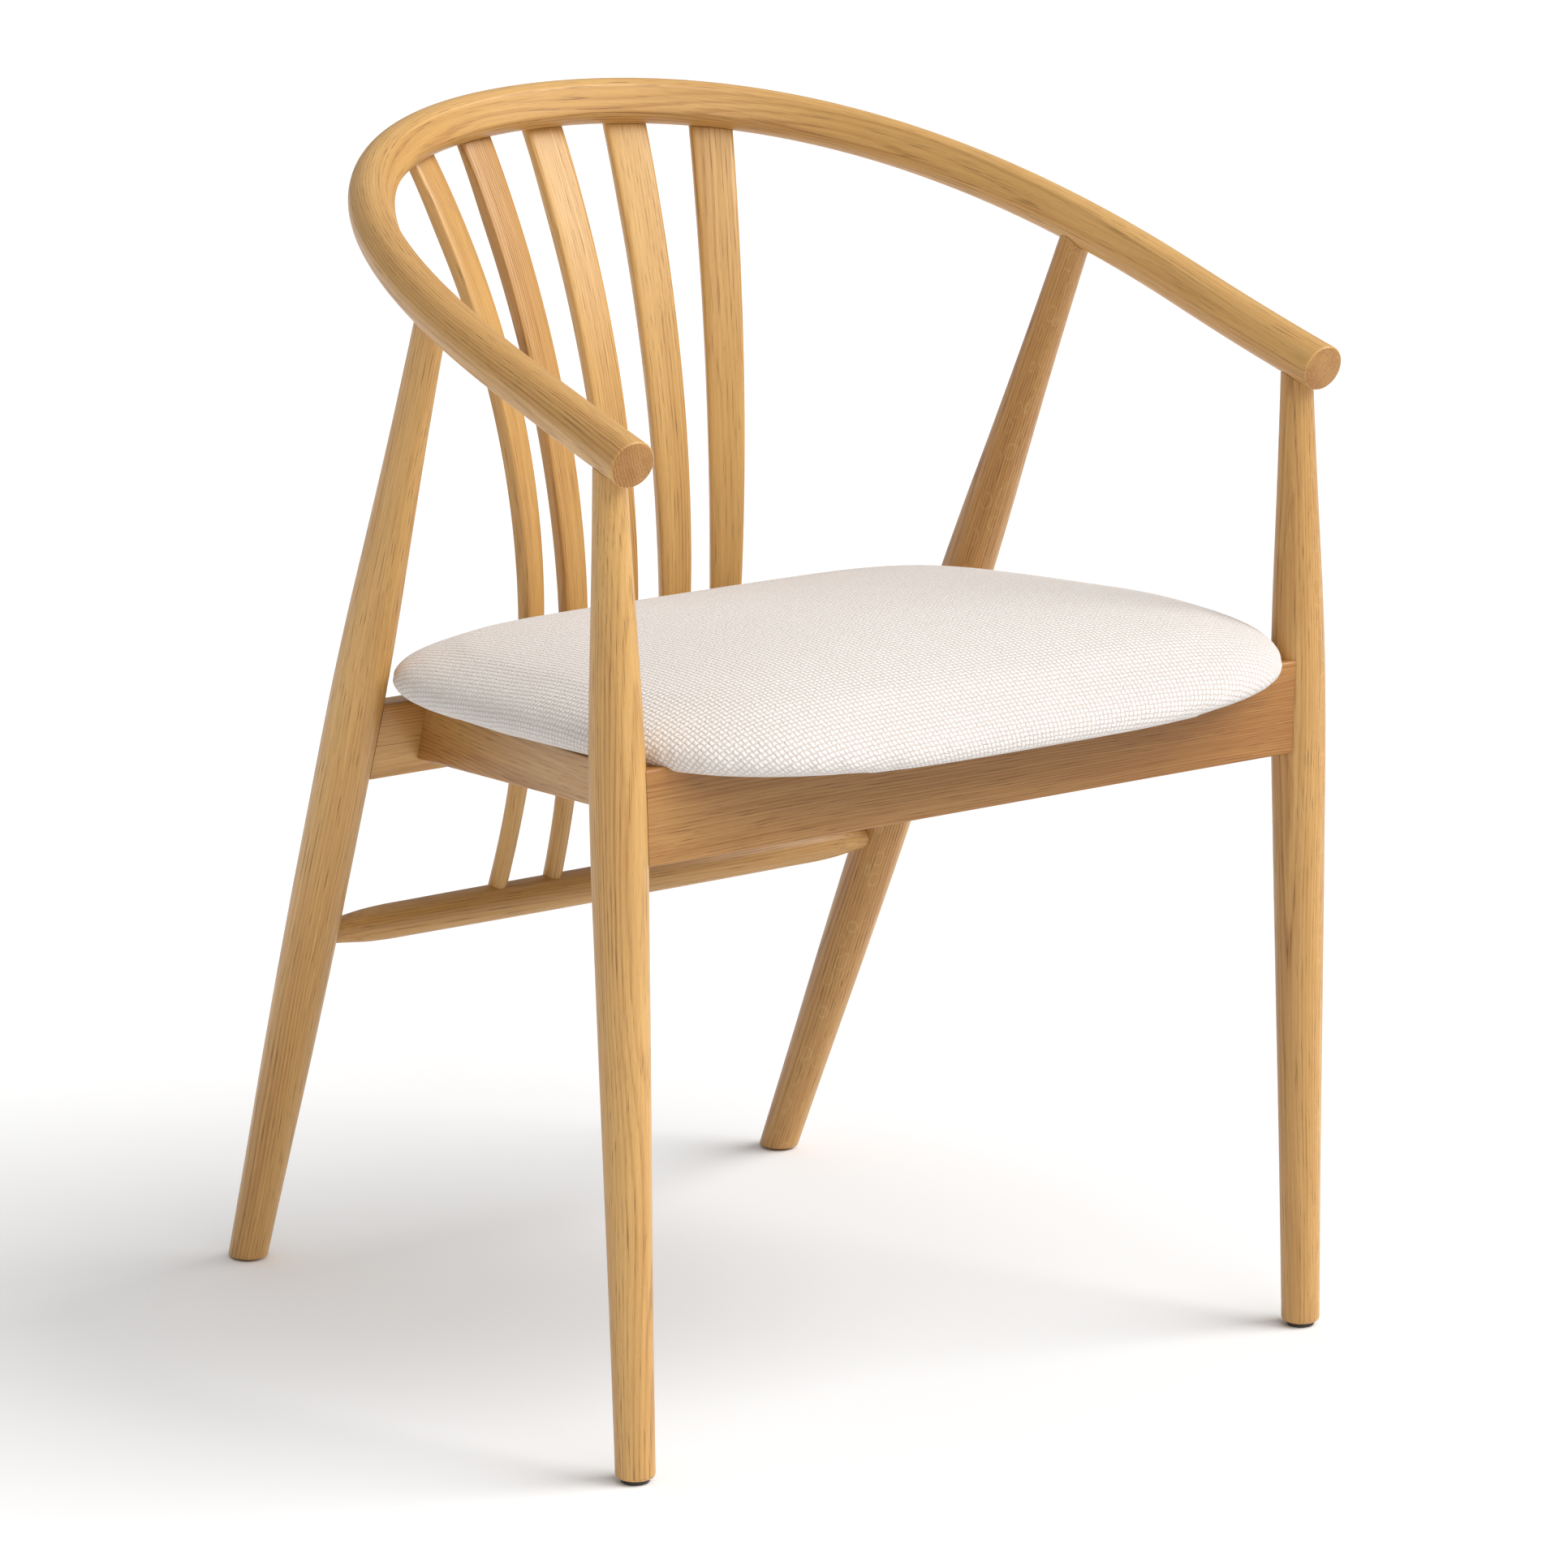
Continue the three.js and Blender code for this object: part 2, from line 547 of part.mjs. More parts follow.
// low is the height of a block's underside, y the depth of the rail's face it stands against and
// reach its length along the side rail. Each block has three screws: one up into the seat board,
// rising by rise, and one into each rail; inboard is measured from the side rail's inner face.
const BLOCKS = {
  front: {
    low: 408,
    y: SEAT_FRONT_Y + RAIL_THICKNESS + GAP,
    reach: BLOCK_LEG,
    nose: BLOCK_NOSE,
    rise: 39,
    seat: { inboard: 18, y: 40 },
    side: { inboard: 22, y: 55 },
    rail: { inboard: 31, y: 46, endY: 12 },
  },
  rear: {
    low: 380,
    y: SIDE_RAIL_REAR_Y,
    reach: -BLOCK_LEG - 15,
    nose: -BLOCK_NOSE - 15,
    rise: 46,
    seat: { inboard: 20, y: 318 },
    side: { inboard: 18, y: 302 },
    rail: { inboard: 40, y: 321, endY: 358 },
  },
};
const SCREW_IN_RAIL = 10; // how far a screw's point goes beyond the side rail's inner face
const SCREW_SUNK = 0.5; // a seat screw's head lies this far inside its block

// Inner face of the right-hand side rail at depth y.
const sideRailInner = (y) => sideRailOuter(y) - RAIL_THICKNESS;

function cornerBlock(kind, side) {
  const { low, y, reach, nose } = BLOCKS[kind];
  const near = sideRailInner(y) - GAP;
  const far = sideRailInner(y + reach) - GAP;
  const corners = [
    [near, y],
    [near - BLOCK_LEG, y],
    [near - BLOCK_LEG, y + nose],
    [far - BLOCK_NOSE, y + reach],
    [far, y + reach],
  ].map(([cornerX, cornerY]) => new THREE.Vector2(side * cornerX, cornerY));
  const outline = new THREE.Shape(corners);
  return new THREE.ExtrudeGeometry(outline, { depth: BLOCK_HEIGHT, bevelEnabled: false }).translate(
    0,
    0,
    low,
  );
}

// A countersunk screw: the head's face at start, the point at end.
function screw(start, end, extra) {
  const length = start.distanceTo(end) + extra;
  const shank = SCREW_RADIUS + extra;
  const head = SCREW_HEAD_RADIUS + extra;
  const profile = [[0, -extra], [head, -extra], [shank, 3], [shank, length - 4], [0, length]];
  return turned(profile, start, end, 8);
}

function blockScrewPoints(kind, side) {
  const { low, rise, seat, side: sideways, rail } = BLOCKS[kind];
  const middle = low + BLOCK_HEIGHT / 2;
  const point = (inboard, y, z) =>
    new THREE.Vector3(side * (sideRailInner(seat.y) - inboard), y, z);
  return {
    seat: [
      point(seat.inboard, seat.y, low + SCREW_SUNK),
      point(seat.inboard, seat.y + rise * Math.tan(SEAT_PITCH), low + rise),
    ],
    side: [
      point(sideways.inboard, sideways.y, middle),
      point(-SCREW_IN_RAIL, sideways.y, middle),
    ],
    rail: [point(rail.inboard, rail.y, middle), point(rail.inboard, rail.endY, middle)],
  };
}

// ---------------------------------------------------------------- seat pad

const PAD_SQUARE_FRONT = 3.6; // superellipse exponents of the pad's outline
const PAD_SQUARE_BACK = 5.9;
const PAD_TAPER = 0.0775; // narrowing towards the back corners
const PAD_SEGMENTS = 36;

// [share of the outline, height above the rim] from under the edge to the middle of the top
const PAD_PROFILE = [
  [0.955, 0], [0.985, 0.12 * PAD_SIDE], [1, 0.4 * PAD_SIDE], [0.995, 0.62 * PAD_SIDE],
  [0.975, 0.82 * PAD_SIDE], [0.93, PAD_SIDE],
  ...[0.8, 0.6, 0.35].map((share) => [share, PAD_SIDE + PAD_CROWN * (1 - (share / 0.93) ** 2.2)]),
  [0, PAD_SIDE + PAD_CROWN],
];

// How far the pad's rim stands above the seat frame; it drops away in front and a little at the sides.
function padRim(x, y) {
  const drop = 21.5 * Math.max(0, (168 - y) / 233) ** 3;
  return 5.1 + 0.0126 * y - drop - 5.5 * (x / PAD_HALF_WIDTH) ** 4;
}

const padInside = (profile) =>
  profile.map(([share, height]) => [
    share > 0 ? share - 0.011 : 0,
    height - COVER_THICKNESS * smooth(0, 0.9 * PAD_SIDE, height),
  ]);

// A body of the pad's outline: rings at a share of the outline, each at its own height.
function padBody(profile, rim) {
  const points = profile.map(([share, height]) => new THREE.Vector2(share, height));
  const geometry = new THREE.LatheGeometry(points, PAD_SEGMENTS);
  const position = geometry.attributes.position;
  for (let i = 0; i < position.count; i += 1) {
    const share = Math.hypot(position.getX(i), position.getZ(i));
    const cos = share > 0 ? position.getX(i) / share : 0;
    const sin = share > 0 ? -position.getZ(i) / share : 0;
    const square = 2 / (sin > 0 ? PAD_SQUARE_BACK : PAD_SQUARE_FRONT);
    const reach = sin > 0 ? PAD_BACK_Y - PAD_WIDEST_Y : PAD_WIDEST_Y - PAD_FRONT_Y;
    const back = Math.sign(sin) * Math.abs(sin) ** square;
    const taper = 1 - PAD_TAPER * Math.max(back, 0);
    const x = share * PAD_HALF_WIDTH * taper * Math.sign(cos) * Math.abs(cos) ** square;
    const y = PAD_WIDEST_Y + share * reach * back;
    position.setXYZ(i, x, y - SEAT_FRONT_Y, position.getY(i) + rim(x, y));
  }
  return geometry;
}

const onFrame = () => 0;

// The room taken by the seat frame, under the pad.
function frameRoom(height) {
  const margin = 1;
  const front = -margin;
  const outline = [
    [SIDE_RAIL_FRONT_X + margin, front],
    [SIDE_RAIL_REAR_X + margin, SIDE_RAIL_REAR_Y],
    [SIDE_RAIL_REAR_X + margin, 400],
  ];
  const right = outline.map(([x, y]) => new THREE.Vector2(x, y));
  const left = outline.map(([x, y]) => new THREE.Vector2(-x, y)).reverse();
  const shape = new THREE.Shape([...right, ...left]);
  return new THREE.ExtrudeGeometry(shape, { depth: 80 + height, bevelEnabled: false }).translate(0, 0, -80);
}

const flatPlate = (share, low, thickness) =>
  padBody([[0, low], [share, low], [share, low + thickness], [0, low + thickness]], onFrame);

const BOARD_SHARE = 0.92; // the board rests on all four rails
const DUST_COVER_LOW = 0.8;
const BOARD_LOW = DUST_COVER_LOW + DUST_COVER_THICKNESS + GAP;
const BOARD_TOP = BOARD_LOW + BOARD_THICKNESS;

function coverGeometry() {
  const inside = padInside(PAD_PROFILE).reverse();
  const shell = padBody([...inside, ...PAD_PROFILE], padRim);
  return shaped(shell, { remove: [frameRoom(DUST_COVER_LOW)] });
}

function foamGeometry() {
  const clear = padInside(PAD_PROFILE).map(([share, height]) => [
    share > 0 ? share - 0.003 : 0,
    height - 0.6 * smooth(0, 0.9 * PAD_SIDE, height) + (height < 0.1 * PAD_SIDE ? 0.5 : 0),
  ]);
  const body = padBody([[0, clear[0][1]], ...clear], padRim);
  const board = flatPlate(BOARD_SHARE + 0.003, -60, BOARD_TOP + GAP + 60);
  return shaped(body, { remove: [board, frameRoom(DUST_COVER_LOW)] });
}

// ---------------------------------------------------------------- assembly

const SIDES = [["left", -1], ["right", 1]];
const CORNERS = ["front", "rear"].flatMap((kind) => SIDES.map(([name, side]) => ({ kind, name, side })));

const screws = CORNERS.flatMap(({ kind, name, side }) =>
  Object.entries(blockScrewPoints(kind, side)).map(([use, ends]) => ({
    name: `${kind}_${use}_screw_${name}`,
    use,
    ends,
  })),
);
const cutScrews = () => screws.map(({ ends: [start, end] }) => screw(start, end, SCREW_CLEARANCE));
const sideDowels = SIDES.flatMap(([name, side]) =>
  ["lower", "upper"].map((level, row) => ({ name: `${level}_rail_dowel_${name}`, side, row })),
);
const cutDowels = () => sideDowels.map(({ side, row }) => sideRailDowel(side, row, GAP));
const slatNumbers = [-2, -1, 0, 1, 2];

const bowMortises = [
  ...CORNERS.map(({ kind, side }) => legTenon(kind, side, GAP)),
  ...slatNumbers.map((number) => slatTenon(number, GAP)),
];
addPiece("bow_rail", shaped(bowGeometry(0), { remove: bowMortises }), OAK());

for (const number of slatNumbers) {
  addPiece(`back_slat_${number + 3}`, slatGeometry(number), OAK());
}

for (const { kind, name, side } of CORNERS) {
  const mortises =
    kind === "front"
      ? [frontRailTenon(side, GAP), sideRailTenon(side, GAP)]
      : [rearRailTenon(side, GAP), stretcherTenon(side, GAP)];
  addPiece(`${kind}_leg_${name}`, legGeometry(kind, side, mortises), OAK());
  addPiece(`${kind}_glide_${name}`, glideGeometry(kind, side), NYLON());
  const block = shaped(cornerBlock(kind, side), { remove: [behindRearRail(), ...cutScrews()] });
  addPiece(`${kind}_corner_block_${name}`, block, BEECH());
}

addPiece(
  "front_rail",
  railGeometry("front", FRONT_FOOT_X, FRONT_RAIL_HEIGHT, frontRailPlace, frontRailTenon, [
    ...cutScrews(),
    sideRailTenon(-1, GAP),
    sideRailTenon(1, GAP),
  ]),
  OAK(),
);
addPiece(
  "rear_rail",
  railGeometry("rear", REAR_RAIL_HALF, REAR_RAIL_HEIGHT, rearRailPlace, rearRailTenon, [
    ...cutScrews(),
    ...cutDowels(),
  ]),
  OAK(),
);
for (const [name, side] of SIDES) {
  addPiece(`side_rail_${name}`, sideRailGeometry(side, [...cutScrews(), ...cutDowels()]), OAK());
}
addPiece("rear_stretcher", stretcherGeometry(slatNumbers.map(slatSocket)), OAK());
for (const { name, side, row } of sideDowels) addPiece(name, sideRailDowel(side, row, 0), BEECH());
for (const { name, ends } of screws) addPiece(name, screw(ends[0], ends[1], 0), STEEL());

const seat = new THREE.Group();
seat.position.set(0, SEAT_FRONT_Y, SEAT_HEIGHT);
seat.rotation.x = -SEAT_PITCH;
chair.add(seat);

// The same screws, seen from the tilted seat.
seat.updateMatrix();
const intoSeat = seat.matrix.clone().invert();
const seatHoles = () =>
  screws
    .filter(({ use }) => use === "seat")
    .map(({ ends: [start, end] }) => screw(start, end, SCREW_CLEARANCE).applyMatrix4(intoSeat));

addPiece("seat_cover", coverGeometry(), CREAM_FABRIC(), seat);
addPiece("seat_foam", foamGeometry(), FOAM(), seat);
const boardPlate = flatPlate(BOARD_SHARE, BOARD_LOW, BOARD_THICKNESS);
addPiece("seat_board", shaped(boardPlate, { remove: seatHoles() }), PLYWOOD(), seat);
const liningPlate = flatPlate(BOARD_SHARE - 0.01, DUST_COVER_LOW, DUST_COVER_THICKNESS);
addPiece("dust_cover", shaped(liningPlate, { remove: seatHoles() }), BLACK_LINING(), seat);

export default group;
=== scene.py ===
"""Looks of the wooden armchair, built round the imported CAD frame.

Every piece is drawn in the chair's own millimetres, with Y = 0 on the front feet, and is moved
into the row frame and into metres by place().
"""

import math

import bpy
import numpy as np
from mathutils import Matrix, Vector


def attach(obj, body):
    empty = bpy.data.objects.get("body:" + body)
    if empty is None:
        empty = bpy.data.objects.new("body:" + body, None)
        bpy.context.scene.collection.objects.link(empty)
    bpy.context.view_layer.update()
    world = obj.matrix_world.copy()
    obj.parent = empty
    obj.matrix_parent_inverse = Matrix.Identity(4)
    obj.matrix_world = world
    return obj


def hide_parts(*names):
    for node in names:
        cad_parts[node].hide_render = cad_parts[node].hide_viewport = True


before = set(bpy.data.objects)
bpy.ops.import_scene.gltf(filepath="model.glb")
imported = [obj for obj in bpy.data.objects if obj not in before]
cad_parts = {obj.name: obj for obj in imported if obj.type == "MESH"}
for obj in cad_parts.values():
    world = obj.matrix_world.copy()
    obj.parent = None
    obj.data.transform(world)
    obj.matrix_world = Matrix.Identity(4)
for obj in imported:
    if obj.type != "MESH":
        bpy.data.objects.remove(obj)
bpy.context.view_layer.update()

MM = 0.001
MIDDLE_OF_DEPTH = 235.5  # from the front feet's axis back to the middle of the footprint
SEAM = 0.25  # gap left at a wooden joint
SHARP_ANGLE = math.radians(38)  # edges that turn more than this are shaded sharp
HALVINGS = 18

# ---------------------------------------------------------------- small helpers


def place(points):
    """Chair millimetres to row-frame metres."""
    moved = np.array(points, float)
    moved[..., 1] -= MIDDLE_OF_DEPTH
    return moved * MM


def unplace(points):
    """Row-frame metres back to chair millimetres."""
    return points / MM + [0, MIDDLE_OF_DEPTH, 0]


def smoothstep(low, high, value):
    t = np.clip((value - low) / (high - low), 0, 1)
    return t * t * (3 - 2 * t)


def unit(v):
    v = np.asarray(v, float)
    return v / np.linalg.norm(v, axis=-1, keepdims=True)


def hermite(knots, x):
    """A smooth curve through knots [(x, y)], level outside them."""
    xs, ys = np.array(knots, float).T
    slope = np.gradient(ys, xs)
    x = np.clip(x, xs[0], xs[-1])
    i = np.clip(np.searchsorted(xs, x) - 1, 0, len(xs) - 2)
    step = xs[i + 1] - xs[i]
    t = (x - xs[i]) / step
    return (
        (2 * t**3 - 3 * t**2 + 1) * ys[i]
        + (t**3 - 2 * t**2 + t) * step * slope[i]
        + (3 * t**2 - 2 * t**3) * ys[i + 1]
        + (t**3 - t**2) * step * slope[i + 1]
    )


def bezier(points, t):
    a, b, c, d = np.asarray(points, float)
    t = np.asarray(t, float)[..., None] if a.ndim else np.asarray(t, float)
    return (1 - t) ** 3 * a + 3 * (1 - t) ** 2 * t * b + 3 * (1 - t) * t**2 * c + t**3 * d


def circle(sides):
    angle = np.arange(sides) * 2 * math.pi / sides
    return np.stack([np.cos(angle), np.sin(angle)], 1)


def paint(mesh, name, values):
    """Stores a number or a vector for each vertex, for the materials to read."""
    kind, field = ("FLOAT_VECTOR", "vector") if np.ndim(values) == 2 else ("FLOAT", "value")
    mesh.attributes.new(name, kind, "POINT").data.foreach_set(field, np.ravel(values))


def add_mesh(name, points, faces, material):
    """A smooth-shaded mesh in row-frame metres."""
    mesh = bpy.data.meshes.new(name)
    mesh.from_pydata([tuple(p) for p in place(points)], [], faces)
    mesh.shade_smooth()
    mesh.set_sharp_from_angle(angle=SHARP_ANGLE)
    mesh.materials.append(material)
    piece = bpy.data.objects.new(name, mesh)
    bpy.context.scene.collection.objects.link(piece)
    return piece


def closed_faces(rings, sides):
    """Quads round a stack of rings, and a face over each end ring."""
    faces = []
    for r in range(rings - 1):
        for s in range(sides):
            n = (s + 1) % sides
            faces.append((r * sides + s, r * sides + n, (r + 1) * sides + n, (r + 1) * sides + s))
    faces.append(tuple(range(sides))[::-1])
    faces.append(tuple((rings - 1) * sides + s for s in range(sides)))
    return faces


def outward_volume(quads):
    """Positive where quads (n, 4, 3) face away from the middle of what they enclose."""
    a, b, c, d = (quads[:, k] for k in range(4))
    parts = (a * np.cross(b, c)).sum(1) + (a * np.cross(c, d)).sum(1)
    return parts.sum() / 6


def closed_tube(name, rings, grain, material, tone_and_shade, caps):
    """A tube with flat or coped ends: the first and last rings are the small ones of its caps.
    grain holds each point's place in its plank, and caps gives how many rings at each end lie on
    end grain."""
    count, sides, _ = rings.shape
    faces = closed_faces(count, sides)
    points = rings.reshape(-1, 3)
    if outward_volume(np.array([points[list(face)] for face in faces[:-2]])) < 0:
        faces = [face[::-1] for face in faces]
    ends = np.zeros((count, sides))
    ends[:caps[0]], ends[count - caps[1]:] = 1, 1
    piece = add_mesh(name, points, faces, material)
    paint(piece.data, "grain", grain.reshape(-1, 3) * MM)
    paint(piece.data, "tone_and_shade", np.full(len(points), tone_and_shade))
    paint(piece.data, "end", ends.ravel())
    return piece


def trimmed(point_at, inside, start, step, limit):
    """Walks t from start by step until inside(point) holds for each line, then halves the step
    back to the surface. point_at(t) takes one t per line."""
    t = np.array(start, float)
    found = inside(point_at(t))
    for _ in range(limit):
        if found.all():
            break
        t = np.where(found, t, t + step)
        found = found | inside(point_at(t))
    low, high = t - step, t
    for _ in range(HALVINGS):
        middle = (low + high) / 2
        hit = inside(point_at(middle))
        high = np.where(hit, middle, high)
        low = np.where(hit, low, middle)
    return (low + high) / 2


# ---------------------------------------------------------------- bow

BOW_HEIGHT_AT_FEET = 630.7
BOW_SLOPE = 0.2754
BOW_RADIUS = 15.05
BOW_HALF_WIDTH = 261.2
BOW_END = -4
BOW_BEND_START = 124.5
BOW_APEX = 498.7
BOW_HANDLE_SIDE = 316.2
BOW_HANDLE_BACK = 106.2
BOW_ARM_TURN_START = 150  # from here to their ends the arms turn slightly outward and up
BOW_ARM_TURN = 156
BOW_ARM_OUT, BOW_ARM_UP = 2.35, 2.83
BOW_FLAT_DEPTH = 2.85
BOW_FLAT_EASE = (0.059, 0.243)  # shares of the bow's length between which the flat deepens
BOW_FLAT_ANGLE = math.radians(31.4)  # the flat faces the sitter, this far up
BOW_TILT = math.atan(BOW_SLOPE)
BOW_UP = np.array([0, -math.sin(BOW_TILT), math.cos(BOW_TILT)])
BOW_FLAT_DIRECTION = np.array([-math.cos(BOW_FLAT_ANGLE), math.sin(BOW_FLAT_ANGLE)])


def bow_axis():
    """Points along the bow's axis from the end of the left arm to the end of the right one."""
    along = np.linspace(BOW_END, BOW_BEND_START, 40)[:-1]
    straight = np.stack([np.full(len(along), BOW_HALF_WIDTH), along], 1)
    bend = bezier(
        [
            (BOW_HALF_WIDTH, BOW_BEND_START),
            (BOW_HALF_WIDTH, BOW_BEND_START + BOW_HANDLE_SIDE),
            (BOW_HANDLE_BACK, BOW_APEX),
            (0, BOW_APEX),
        ],
        np.linspace(0, 1, 400),
    )
    half = np.concatenate([straight, bend])
    turn = np.clip((BOW_ARM_TURN_START - half[:, 1]) / BOW_ARM_TURN, 0, 1) ** 2
    half[:, 0] += BOW_ARM_OUT * turn
    lift = np.concatenate([turn, turn[-2::-1]]) * BOW_ARM_UP
    x, s = np.concatenate([half * [-1, 1], half[-2::-1]]).T
    level = np.stack([x, s * math.cos(BOW_TILT), BOW_HEIGHT_AT_FEET + s * math.sin(BOW_TILT)], 1)
    return level + lift[:, None] * BOW_UP


BOW_AXIS = bow_axis()
BOW_LENGTHS = np.concatenate(
    [[0], np.cumsum(np.linalg.norm(np.diff(BOW_AXIS, axis=0), axis=1))]
)
BOW_LENGTH = BOW_LENGTHS[-1]


def bow_frame(length):
    """Point, tangent and outward direction at lengths along the bow."""
    point = np.stack([np.interp(length, BOW_LENGTHS, BOW_AXIS[:, k]) for k in range(3)], -1)
    tangents = np.gradient(BOW_AXIS, BOW_LENGTHS, axis=0)
    tangent = unit(np.stack([np.interp(length, BOW_LENGTHS, tangents[:, k]) for k in range(3)], -1))
    return point, tangent, unit(np.cross(np.broadcast_to(BOW_UP, tangent.shape), tangent))


def bow_flat_depth(length):
    t = length / BOW_LENGTH
    return BOW_FLAT_DEPTH * smoothstep(*BOW_FLAT_EASE, np.minimum(t, 1 - t))


def bow_outline(length, ring):
    """The ring's (outward, up) places on the bow's skin, with the flat cut off and eased."""
    depth = np.asarray(bow_flat_depth(length))[..., None]
    over = ring @ BOW_FLAT_DIRECTION * BOW_RADIUS - (BOW_RADIUS - depth)
    ease = 0.25
    drop = (over + np.sqrt(over**2 + ease**2)) / 2 - ease / 2
    drop = np.where(depth > 0.01, np.maximum(drop, 0), 0)
    return ring * BOW_RADIUS - drop[..., None] * BOW_FLAT_DIRECTION


def in_bow(points, gap=SEAM):
    """Whether points lie inside the bow, grown by the gap."""
    nearest = ((points[:, None] - BOW_AXIS[None]) ** 2).sum(-1).argmin(1)
    length = BOW_LENGTHS[nearest]
    point, tangent, _ = bow_frame(length)
    length = length + ((points - point) * tangent).sum(1)
    point, _, outward = bow_frame(length)
    offset = points - point
    x, y = (offset * outward).sum(1), offset @ BOW_UP
    over = x * BOW_FLAT_DIRECTION[0] + y * BOW_FLAT_DIRECTION[1]
    room = BOW_RADIUS + gap
    return (np.hypot(x, y) < room) & (over < room - bow_flat_depth(length))


def build_bow():
    sides = 112
    bevel = 1.6
    turns = np.linspace(0, math.pi / 2, 6)[:-1]
    near = [(bevel * (1 - math.cos(a)), bevel * (1 - math.sin(a))) for a in turns]
    stations = [*near]
    stations += [(length, 0.0) for length in np.linspace(bevel, BOW_LENGTH - bevel, 380)]
    stations += [(BOW_LENGTH - length, inset) for length, inset in near[::-1]]
    lengths, insets = np.array(stations).T
    ring = circle(sides)[::-1]
    point, _, outward = bow_frame(lengths)
    skin = bow_outline(lengths, ring)
    skin = skin * (1 - insets / BOW_RADIUS)[:, None, None]
    rings = point[:, None] + skin[..., :1] * outward[:, None] + skin[..., 1:] * BOW_UP
    along = np.broadcast_to(lengths[:, None, None], skin[..., :1].shape)
    grain = np.concatenate([skin, along], -1)
    return rings, grain


# ---------------------------------------------------------------- legs

GLIDE_HEIGHT = {"front": 2.5, "rear": 1.2}
GLIDE_GAP = 0.3
FOOT_EDGE = {"front": 3.4, "rear": 1.3}  # radius round the foot's lower edge
FRONT_FOOT = (262.5, 0.0)
FRONT_LEAN = (0.0008, 0.0335)
REAR_FOOT = (218.5, 523.0)
REAR_LEAN = (0.0462, -0.4245)
FRONT_PROFILE = [
    (14, 12.5), (105, 13.4), (210, 15), (320, 16.6), (400, 17.5),
    (440, 17.3), (482, 16.1), (530, 14), (580, 11.9), (630, 10.2), (700, 9.6),
]
REAR_PROFILE = [
    (-20, 12.6), (75, 14.3), (160, 16.1), (250, 17.3), (350, 17.6),
    (430, 17.5), (482, 16.3), (540, 14.1), (600, 12.1), (655, 10.8), (760, 9.8),
]
LEGS = {
    "front": (FRONT_FOOT, FRONT_LEAN, FRONT_PROFILE),
    "rear": (REAR_FOOT, REAR_LEAN, REAR_PROFILE),
}


def leg_axis(kind, side, height):
    (x, y), (lean_x, lean_y), _ = LEGS[kind]
    height = np.asarray(height, float)
    return np.stack([side * (x + lean_x * height), y + lean_y * height, height], -1)


def leg_axes(kind, side):
    """Directions along the leg and across it."""
    along = unit(leg_axis(kind, side, 1.0) - leg_axis(kind, side, 0.0))
    across = unit(np.cross([0, 1, 0], along))
    return along, across, np.cross(along, across)


def in_leg(points, kind, side, gap=SEAM):
    along, _, _ = leg_axes(kind, side)
    foot = leg_axis(kind, side, 0.0)
    offset = points - foot
    reach = offset @ along
    height = reach * along[2]
    distance = np.linalg.norm(offset - reach[:, None] * along, axis=1)
    return distance < hermite(LEGS[kind][2], height) + gap


def build_leg(kind, side):
    sides = 72
    along, across, through = leg_axes(kind, side)
    ring = circle(sides)
    profile = LEGS[kind][2]
    bottom = GLIDE_HEIGHT[kind] + GLIDE_GAP

    def skin(height, share=1.0, inset=0.0):
        """Points of the leg's skin, where height is measured on the axis."""
        radius = share * (hermite(profile, height) - inset)
        offset = ring * np.reshape(radius, (-1, 1))
        return leg_axis(kind, side, height) + offset[:, :1] * across + offset[:, 1:] * through

    def top(share):
        start = np.full(sides, 560.0)
        return trimmed(lambda h: skin(h, share), in_bow, start, 4.0, 60)

    def low(level, share=1.0, inset=0.0):
        start = np.full(sides, 40.0)
        below = lambda p: p[:, 2] < level
        return trimmed(lambda h: skin(h, share, inset), below, start, -2.0, 60)

    rings = []
    round_edge = FOOT_EDGE[kind]
    for share in (0.25, 0.5, 0.75):
        rings.append(skin(low(bottom, share), share))
    for a in np.linspace(0, math.pi / 2, 7):
        inset = round_edge * (1 - math.sin(a))
        level = bottom + round_edge * (1 - math.cos(a))
        rings.append(skin(low(level, 1.0, inset), 1.0, inset))
    first, last = low(bottom + round_edge), top(1.0)
    for t in np.linspace(0, 1, 150)[1:]:
        rings.append(skin(first + (last - first) * t))
    for share in (0.75, 0.5, 0.25):
        rings.append(skin(top(share), share))
    rings = np.array(rings)
    offset = rings - leg_axis(kind, side, 0.0)
    grain = np.stack([offset @ across, offset @ through, offset @ along], -1)
    return rings, grain


# ---------------------------------------------------------------- seat frame, stretcher and slats

SEAT_FRONT_Y = 2
SEAT_HEIGHT = 444.3
SEAT_PITCH = math.atan(0.0826)
RAIL_THICKNESS = 22
RAIL_EDGE = 1.8  # radius along the rails' edges
OUTLINE_STEP = 6  # longest side of a rail's outline
FRONT_RAIL_HEIGHT = 60.5
REAR_RAIL_HEIGHT = 61
REAR_RAIL_BOTTOM = 362
REAR_RAKE = math.atan(0.4245)
RAKE_COS, RAKE_SIN = math.cos(REAR_RAKE), math.sin(REAR_RAKE)
SIDE_RAIL_FRONT_X = 261
SIDE_RAIL_REAR_X = 188
SIDE_RAIL_REAR_Y = 352
SIDE_RAIL_FRONT_HEIGHT = 27
SIDE_RAIL_REAR_HEIGHT = 43
SIDE_SPLAY = (SIDE_RAIL_FRONT_X - SIDE_RAIL_REAR_X) / SIDE_RAIL_REAR_Y


def frame_top(y):
    return SEAT_HEIGHT - math.tan(SEAT_PITCH) * (y - SEAT_FRONT_Y)


